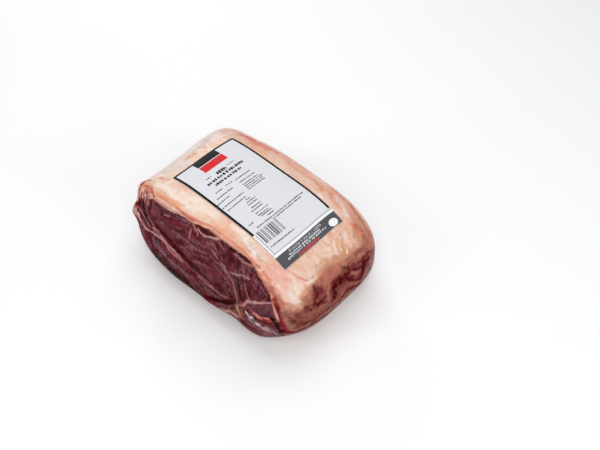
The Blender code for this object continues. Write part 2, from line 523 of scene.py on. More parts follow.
@dataclass(frozen=True)
class MeatUnderFilm:
    """Raw beef and fat seen through film that clings to it, so that the wet sheen is the film's."""

    roughness: float = 0.45
    film_ior: float = 1.18
    film_on_dark: float = 0.12
    film_roughness: float = 0.10
    fibre_mm: float = 1.5
    mottle_mm: float = 4.5
    lean_swing: float = 1.9
    fat_swing: float = 0.28
    wrinkle_mm: float = 3.2
    wrinkle_depth_mm: float = 0.6
    fibre_depth_mm: float = 0.3

    def make(self) -> bpy.types.Material:
        """Build the material.

        Returns:
            The material.
        """
        material, tree, shader = new_material(
            "raw_beef_under_clear_film",
            {
                "Roughness": self.roughness,
                "Specular IOR Level": 0.0,
                "Coat IOR": self.film_ior,
                "Coat Roughness": self.film_roughness,
            },
        )
        place = {"Vector": add_node(tree, "ShaderNodeTexCoord").outputs["Object"]}
        paint = add_node(tree, "ShaderNodeAttribute", {"attribute_name": "paint"}).outputs
        # Fibres, coarser than real ones so that they show, and mottling lighten and darken the paint, much
        # in the lean and little in the fat.
        fibre = add_node(
            tree, "ShaderNodeTexNoise", {"Scale": 1.0 / (self.fibre_mm * MM), "Detail": 3.0}, place
        ).outputs[0]
        mottle = add_node(
            tree, "ShaderNodeTexNoise", {"Scale": 1.0 / (self.mottle_mm * MM), "Detail": 4.0}, place
        ).outputs[0]
        both = add_node(tree, "ShaderNodeMath", {"operation": "ADD"}, {0: fibre, 1: mottle}).outputs[0]
        level = add_node(tree, "ShaderNodeMath", {"operation": "SUBTRACT", 1: 1.0}, {0: both}).outputs[0]
        swings = {"To Min": self.lean_swing, "To Max": self.fat_swing}
        swing = add_node(tree, "ShaderNodeMapRange", swings, {"Value": paint["Alpha"]}).outputs[0]
        change = add_node(tree, "ShaderNodeMath", {"operation": "MULTIPLY"}, {0: level, 1: swing}).outputs[0]
        shade = add_node(tree, "ShaderNodeMath", {"operation": "ADD", 1: 1.0}, {0: change}).outputs[0]
        shaded = {0: paint["Color"], "Scale": shade}
        colour = add_node(tree, "ShaderNodeVectorMath", {"operation": "SCALE"}, shaded)
        tree.links.new(colour.outputs[0], shader.inputs["Base Color"])
        # The film's sheen is full on the pale fat and weak on the dark lean, which would look grey under it.
        sheens = {"To Min": self.film_on_dark, "To Max": 1.0}
        gloss = add_node(tree, "ShaderNodeMapRange", sheens, {"Value": paint["Alpha"]})
        tree.links.new(gloss.outputs[0], shader.inputs["Coat Weight"])
        wrinkle = add_node(
            tree,
            "ShaderNodeTexNoise",
            {"Scale": 1.0 / (self.wrinkle_mm * MM), "Detail": 5.0, "Roughness": 0.6},
            place,
        )
        film = add_node(
            tree,
            "ShaderNodeBump",
            {"Strength": 0.6, "Distance": self.wrinkle_depth_mm * MM},
            {"Height": wrinkle.outputs[0]},
        )
        tree.links.new(film.outputs[0], shader.inputs["Coat Normal"])
        flesh = add_node(
            tree,
            "ShaderNodeBump",
            {"Strength": 0.5, "Distance": self.fibre_depth_mm * MM},
            {"Height": both},
        )
        tree.links.new(flesh.outputs[0], shader.inputs["Normal"])
        return material


@dataclass(frozen=True)
class ClearFilm:
    """Clear shrink film: unseen where it clings, milky where it is folded, gathered or stands off, and
    painted white as sheen over the far shoulder.
    """

    roughness: float = 0.12
    shine: float = 0.9

    def make(self) -> bpy.types.Material:
        """Build the material.

        Returns:
            The material.
        """
        material, tree, shader = new_material(
            "clear_shrink_film", {"Roughness": self.roughness, "Specular IOR Level": self.shine}
        )
        # The tint's alpha says how milky each place is; where it is none, the film can't be seen.
        tint = add_node(tree, "ShaderNodeAttribute", {"attribute_name": "tint"})
        tree.links.new(tint.outputs["Color"], shader.inputs["Base Color"])
        tree.links.new(tint.outputs["Alpha"], shader.inputs["Alpha"])
        return material


@dataclass(frozen=True)
class LabelStock:
    """Coated label paper: smooth and pale, with a satin face."""

    name: str
    tone: Tone
    roughness: float = 0.45
    shine: float = 0.12
    variation_mm: float = 18.0
    darker: float = 0.96
    lighter: float = 1.03

    def make(self) -> bpy.types.Material:
        """Build the material.

        Returns:
            The material.
        """
        material, tree, shader = new_material(
            self.name, {"Roughness": self.roughness, "Specular IOR Level": self.shine}
        )
        place = add_node(tree, "ShaderNodeTexCoord").outputs["Object"]
        cloud = add_node(
            tree,
            "ShaderNodeTexNoise",
            {"Scale": 1.0 / (self.variation_mm * MM), "Detail": 3.0},
            {"Vector": place},
        )
        # A slow change of shade, too faint to make out, that keeps the sheet from looking flat.
        light = linear(self.tone.value)
        shades = {
            "data_type": "RGBA",
            "A": (*(self.darker * channel for channel in light), 1.0),
            "B": (*(min(1.0, self.lighter * channel) for channel in light), 1.0),
        }
        mixed = add_node(tree, "ShaderNodeMix", shades, {"Factor": cloud.outputs[0]})
        tree.links.new(mixed.outputs["Result"], shader.inputs["Base Color"])
        return material


# --------------------------------------------------------------------------------------------------
# The skin: one fine grid that both the meat and the film start from
# --------------------------------------------------------------------------------------------------


@dataclass(frozen=True)
class SkinGrid:
    """A box whose sides are cut into cells, to be pushed out to the block's form.

    The sides that show are cut twice as fine as the back and the underside.
    """

    coarse_cells: tuple[int, int, int] = (116, 60, 58)
    squarely: float = 0.9

    def model(self, name: str) -> bpy.types.Object:
        """Cut a cube's sides into cells, all edges along one axis at a time.

        Args:
            name: The piece's name.

        Returns:
            The piece, from -1 to 1.
        """
        bpy.ops.object.select_all(action="DESELECT")
        bpy.ops.mesh.primitive_cube_add(size=2.0, location=(0.0, 0.0, 0.0))
        piece = bpy.context.object
        piece.name = name
        bpy.ops.object.mode_set(mode="EDIT")
        bpy.ops.mesh.select_mode(type="EDGE")
        for axis, cells in enumerate(self.coarse_cells):
            self.select_along(piece, axis, False)
            bpy.ops.mesh.subdivide(number_cuts=cells - 1)
        for axis in range(3):
            self.select_along(piece, axis, True)
            bpy.ops.mesh.subdivide(number_cuts=1)
        bpy.ops.object.mode_set(mode="OBJECT")
        return piece

    def select_along(self, piece: bpy.types.Object, axis: int, shown: bool) -> None:
        """Select the edges that run along one axis.

        Args:
            piece: The box, in edit mode.
            axis: 0, 1 or 2.
            shown: Leave out the edges within the back and the underside.
        """
        bpy.ops.mesh.select_all(action="DESELECT")
        bm = bmesh.from_edit_mesh(piece.data)
        bm.normal_update()
        for edge in bm.edges:
            run = edge.verts[1].co - edge.verts[0].co
            hidden = all(
                face.normal.y > self.squarely or face.normal.z < -self.squarely for face in edge.link_faces
            )
            edge.select_set(abs(run[axis]) > self.squarely * run.length and not (shown and hidden))
        bm.select_flush_mode()
        bmesh.update_edit_mesh(piece.data)


def read_vertices(piece: bpy.types.Object, what: str) -> Array:
    """Read a value of each point of a mesh.

    Args:
        piece: The mesh's object.
        what: "co" for the points' places, or "normal" for the way that they face.

    Returns:
        The values, a point a row.
    """
    flat = np.empty(len(piece.data.vertices) * 3)
    piece.data.vertices.foreach_get(what, flat)
    return flat.reshape(-1, 3)


def write_points(piece: bpy.types.Object, points: Array) -> None:
    """Move a mesh's points."""
    piece.data.vertices.foreach_set("co", points.astype(np.float32).ravel())
    piece.data.update()


def write_colours(piece: bpy.types.Object, name: str, colours: Array) -> None:
    """Store linear colours, with alpha, as a colour attribute on a mesh's points."""
    layer = piece.data.color_attributes.new(name=name, type="FLOAT_COLOR", domain="POINT")
    layer.data.foreach_set("color", colours.astype(np.float32).ravel())


# --------------------------------------------------------------------------------------------------
# The film's folds
# --------------------------------------------------------------------------------------------------


@dataclass(frozen=True)
class FilmFolds:
    """Every fold of the film that shows, on the face that it runs over."""

    main: tuple[Fold, ...] = (
        # The long rope of film along the lean face, and the valley over it.
        Fold(
            Face.LEAN,
            ((-92, 60), (-77, 50), (-64, 49), (-50, 50), (-5, 45), (22, 45), (50, 43)),
            2.0, 1.9, 0.03,
        ),
        Fold(Face.LEAN, ((-84, 67), (-68, 60), (-53, 57), (-20, 51), (9, 48), (22, 47)), -2.4, 1.9),
        Fold(Face.LEAN, ((-86, 55), (-62, 45), (-30, 45), (0, 41), (40, 38)), -1.4, 2.0),
        # Strands that fan out from the ear.
        Fold(Face.LEAN, ((-85, 63), (-76, 60), (-66, 55)), 1.2, 1.2, 0.03),
        Fold(Face.LEAN, ((-82, 68), (-72, 62), (-60, 57)), 1.0, 1.2, 0.03),
        Fold(Face.LEAN, ((-76, 84), (-73, 74), (-70, 64)), 0.9, 1.5, 0.03),
        Fold(Face.LEAN, ((-82, 82), (-79, 74), (-76, 66)), 0.9, 1.3, 0.03),
        # The column where the film is gathered, with creases running off it.
        Fold(
            Face.LEAN,
            ((34, 76), (41, 73), (48, 70), (53, 62), (57, 52), (60, 42), (62, 32)),
            2.0, 1.6, 0.03,
        ),
        Fold(Face.LEAN, ((37, 70), (41, 58), (48, 50), (55, 44)), -1.6, 2.2),
        Fold(Face.LEAN, ((27, 73), (33, 61), (40, 48)), -1.0, 2.0),
        Fold(Face.LEAN, ((56, 68), (59, 60), (62, 50)), -1.3, 1.5),
        Fold(Face.LEAN, ((64, 68), (67, 60), (69, 52), (70, 42)), 1.1, 1.3, 0.03),
        Fold(Face.LEAN, ((46, 74), (53, 77), (60, 80), (70, 83)), 1.0, 1.1, 0.06),
        Fold(Face.LEAN, ((70, 57), (79, 61), (87, 66), (95, 70)), 1.2, 1.2, 0.06),
        Fold(Face.LEAN, ((71, 53), (80, 52), (88, 51), (97, 48)), 1.5, 1.9, 0.03),
        Fold(Face.LEAN, ((74, 48), (84, 46), (96, 43)), -1.3, 1.8),
        Fold(Face.LEAN, ((70, 43), (80, 40), (90, 37), (100, 33)), 1.3, 1.7, 0.06),
        Fold(Face.LEAN, ((66, 35), (78, 33), (92, 30)), -0.9, 1.5),
        # The fold that tucks under in front.
        Fold(Face.LEAN, ((14, 24), (27, 26), (38, 30), (56, 43)), -3.0, 3.2),
        Fold(Face.LEAN, ((8, 15), (30, 20), (45, 25), (58, 34)), 1.3, 2.0, 0.03),
        Fold(Face.LEAN, ((-60, 30), (-33, 23), (5, 19)), 0.9, 2.6, 0.03),
        # Small creases on the upper lean face.
        Fold(Face.LEAN, ((0, 95), (3, 92), (8, 90), (14, 92), (26, 97)), 0.8, 1.0, 0.03),
        Fold(Face.LEAN, ((-7, 90), (-10, 80), (-11, 70)), 0.6, 1.0, 0.03),
        Fold(Face.LEAN, ((44, 93), (55, 92), (63, 90), (72, 88)), 0.7, 1.4, 0.03),
        # The seam of loose film low round the near end.
        Fold(Face.NEAR, ((-72, 27), (-30, 24), (20, 24), (62, 29)), 0.9, 4.0, 0.25),
    )

    def relief(self, skin: Skin) -> Array:
        """Return how far the folds push each point out."""
        return sum(fold.height * fold.profile(skin) for fold in self.main)

    def haze(self, skin: Skin) -> Array:
        """Find how milky the folds make the film at each point.

        Args:
            skin: The points.

        Returns:
            Each one's haze, from 0 to 1.
        """
        total = np.zeros(len(skin.points))
        for fold in self.main:
            if fold.haze:
                total = np.maximum(total, fold.haze * fold.profile(skin))
        return total


# --------------------------------------------------------------------------------------------------
# Painting the meat
# --------------------------------------------------------------------------------------------------


@dataclass(frozen=True)
class PhotoView:
    """The photograph's camera: where it stands, in metres, and its picture, in pixels."""

    azimuth: float = 42.1
    elevation: float = 48.3
    distance: float = 0.785
    aim: tuple[float, float, float] = (0.0297, 0.0326, 0.0461)
    lens: float = 48.0
    sensor: float = 36.0
    picture: tuple[float, float] = (600.0, 450.0)
    pack_middle: tuple[float, float] = (255.0, 235.0)
    step_inwards: float = 1.0 / 200.0

    def away(self) -> Vector:
        """Return the direction from what the camera aims at to the camera."""
        turn, lift = math.radians(self.azimuth), math.radians(self.elevation)
        return Vector((math.sin(turn) * math.cos(lift), -math.cos(turn) * math.cos(lift), math.sin(lift)))

    def stand(self) -> Vector:
        """Return the camera's place."""
        return Vector(self.aim) + self.away() * self.distance

    def turned(self) -> Quaternion:
        """Return the camera's turn."""
        return (-self.away()).to_track_quat("-Z", "Y")

    def find(self, meat: BVHTree, pixel: tuple[float, float]) -> Vector:
        """Find the place on the meat that a pixel shows; one just off the meat is drawn in till it meets it.

        Args:
            meat: The meat's surface.
            pixel: The pixel, from the picture's upper left.

        Returns:
            The place, in metres.
        """
        x, y = pixel
        per_pixel = self.sensor / self.lens / self.picture[0]
        while True:
            across = (x - self.picture[0] / 2.0) * per_pixel
            upward = (self.picture[1] / 2.0 - y) * per_pixel
            place = meat.ray_cast(self.stand(), self.turned() @ Vector((across, upward, -1.0)))[0]
            if place is not None:
                return place
            x += (self.pack_middle[0] - x) * self.step_inwards
            y += (self.pack_middle[1] - y) * self.step_inwards


@dataclass(frozen=True)
class Tracing:
    """Lays routes that were read off the photograph onto the meat."""

    view: PhotoView
    meat: BVHTree
    shift: Array

    def route(self, pixels: Pixels) -> Array:
        """Return the places on the block, in millimetres from its own axis, that a route's pixels show."""
        return np.array([np.array(self.view.find(self.meat, pixel)) / MM - self.shift for pixel in pixels])


@dataclass(frozen=True)
class Stroke:
    """A streak or patch of colour.

    Its half width is in millimetres, its strength and raggedness go from 0 to 1, and its route is in pixels
    of the photograph.
    """

    tone: Tone
    half_width: float
    strength: float
    ragged: float
    route: Pixels


@dataclass
class Paint:
    """Colours laid over each other on a skin's points. Sizes in millimetres.

    A stroke's outline wanders, its edge is ragged and it is broken here and there, each by its own noise.
    """

    skin: Skin
    ground: Tone
    colour: Array = field(init=False)
    wander: Array = field(init=False)
    # How far an outline wanders, over what size of grain, and the first of the noises along X, Y and Z.
    wanders: Grains = ((2.6, 9.0, 81), (1.1, 3.2, 84))
    wander_limit: float = 4.0
    # Edge: where it ends, in half widths, how far it swings, its noise's peak, and its least and usual grain.
    edge_end: float = 1.45
    edge_swing: float = 1.5
    noise_peak: float = 1.1
    least_edge_grain: float = 1.8
    edge_grain: float = 1.3
    # Breaks: their grain, how deep they are, and how much stays covered.
    break_grain: float = 4.5
    break_swing: float = 1.8
    break_cover: float = 0.9
    break_seed: int = 50

    def __post_init__(self) -> None:
        """Start with one colour all over."""
        self.colour = np.tile(np.array(linear(self.ground.value)), (len(self.skin.points), 1))
        self.wander = np.zeros_like(self.skin.points)
        for reach, size, first_seed in self.wanders:
            for axis in Axis:
                noise_along = grain(self.skin.points, size, first_seed + axis.value)
                self.wander[:, axis.value] += reach * noise_along

    def wash(self, tone: Tone, share: Array, at: Array | slice = slice(None)) -> None:
        """Lay a colour over the points, or some of them, by each one's share."""
        share = np.clip(share, 0.0, 1.0)[:, None]
        self.colour[at] = self.colour[at] * (1.0 - share) + np.array(linear(tone.value)) * share

    def show(
        self,
        tone: Tone,
        strength: float,
        pattern: Array,
        contrast: float = 1.6,
        cover: float = 0.0,
        share: Array | float = 1.0,
    ) -> None:
        """Lay a colour where a pattern is high.

        Args:
            tone: The colour.
            strength: How strong it is at most.
            pattern: The pattern, about -1 to 1 or 0 to 1.
            contrast: How sharply the colour comes in.
            cover: What is added, so that more of the pattern shows, or less if it is below zero.
            share: How much of each point the colour may cover.
        """
        self.wash(tone, strength * smooth_step(pattern * contrast + cover) * share)

    def mottle(
        self, tone: Tone, strength: float, size: float | Sizes, seed: int, **how: float | Array
    ) -> None:
        """Lay a colour in patches of noise.

        Args:
            tone: The colour.
            strength: How strong it is at most.
            size: How large the patches are, in millimetres, or three sizes along X, Y and Z.
            seed: Which noise.
            **how: The contrast, cover and share that show takes.
        """
        self.show(tone, strength, grain(self.skin.points, size, seed), **how)

    def stroke(self, stroke: Stroke, route: Array, seed: int, within: Array) -> None:
        """Lay one stroke.

        Args:
            stroke: Its colour, its width and how ragged it is.
            route: Its places on the block, in millimetres.
            seed: Which noise breaks it.
            within: How much of each point of the skin it may cover.
        """
        reach = self.edge_end * stroke.half_width
        reach += stroke.ragged * (self.noise_peak * self.edge_swing * stroke.half_width + self.wander_limit)
        low, high = route.min(axis=0) - reach, route.max(axis=0) + reach
        at = np.flatnonzero(((self.skin.points > low) & (self.skin.points < high)).all(axis=1))
        points = self.skin.points[at]
        moved = Skin(points + self.wander[at] * stroke.ragged, self.skin.normals[at])
        away, _ = moved.beside(Face.ROUND, route)
        rough = grain(points, max(self.least_edge_grain, self.edge_grain * stroke.half_width), seed)
        edge = away / stroke.half_width + stroke.ragged * rough * self.edge_swing
        breaks = grain(points, self.break_grain, seed + self.break_seed) * self.break_swing * stroke.ragged
        cover = smooth_step(self.edge_end - edge) * smooth_step(breaks + self.break_cover)
        self.wash(stroke.tone, cover * stroke.strength * within[at], at)


@dataclass(frozen=True)
class Drawn:
    """Noise drawn out into lines: how wide and how long its grains are, and which noise it is."""

    width: float
    length: float
    seed: int


@dataclass(frozen=True)
class Pull:
    """The pull of the film between its ear and the place where it is gathered, on the lean face.

    Lines along it are as wide as an angle between the two, in radians, and as long as a step of the ratio
    of the distances from them, as a logarithm.
    """

    ear: tuple[float, float] = (-97.0, 56.0)
    gather: tuple[float, float] = (61.0, 39.0)
    end_radius: float = 4.0
    sharpness: float = 5.0
    patch_size: float = 17.0
    broad_wrinkle: Drawn = Drawn(0.12, 0.8, 33)
    fine_wrinkle: Drawn = Drawn(0.07, 0.5, 35)

    def lines(self, skin: Skin) -> tuple[Array, Array]:
        """Measure the points along the pull.

        Args:
            skin: The points.

        Returns:
            How far across it and how far along it each point is.
        """
        angles = []
        lengths = []
        for end in (self.ear, self.gather):
            apart = skin.points[:, (0, 2)] - np.array(end)
            angles.append(np.arctan2(apart[:, 1], apart[:, 0]))
            lengths.append(np.linalg.norm(apart, axis=1) + self.end_radius)
        return np.mod(angles[0] - angles[1], 2.0 * math.pi), np.log(lengths[0] / lengths[1])

    def streaks(self, skin: Skin, drawn: Drawn) -> Array:
        """Draw noise out along the pull.

        Args:
            skin: The points.
            drawn: How wide and long its grains are.

        Returns:
            The noise, about -1 to 1.
        """
        across, along = self.lines(skin)
        places = np.stack([across / drawn.width, along / drawn.length, np.zeros(len(across))], axis=1)
        return grain(places, 1.0, drawn.seed)

    def wrinkles(self, skin: Skin, drawn: Drawn) -> Array:
        """Draw thin lines along the pull, in patches.

        Args:
            skin: The points.
            drawn: How wide and long the lines are.

        Returns:
            The lines, 0 to 1.
        """
        lines = 1.0 - np.clip(np.abs(self.streaks(skin, drawn)) * self.sharpness, 0.0, 1.0)
        patches = smooth_step(grain(skin.points, self.patch_size, drawn.seed + 1) * 1.5 + 0.5)
        return lines * patches


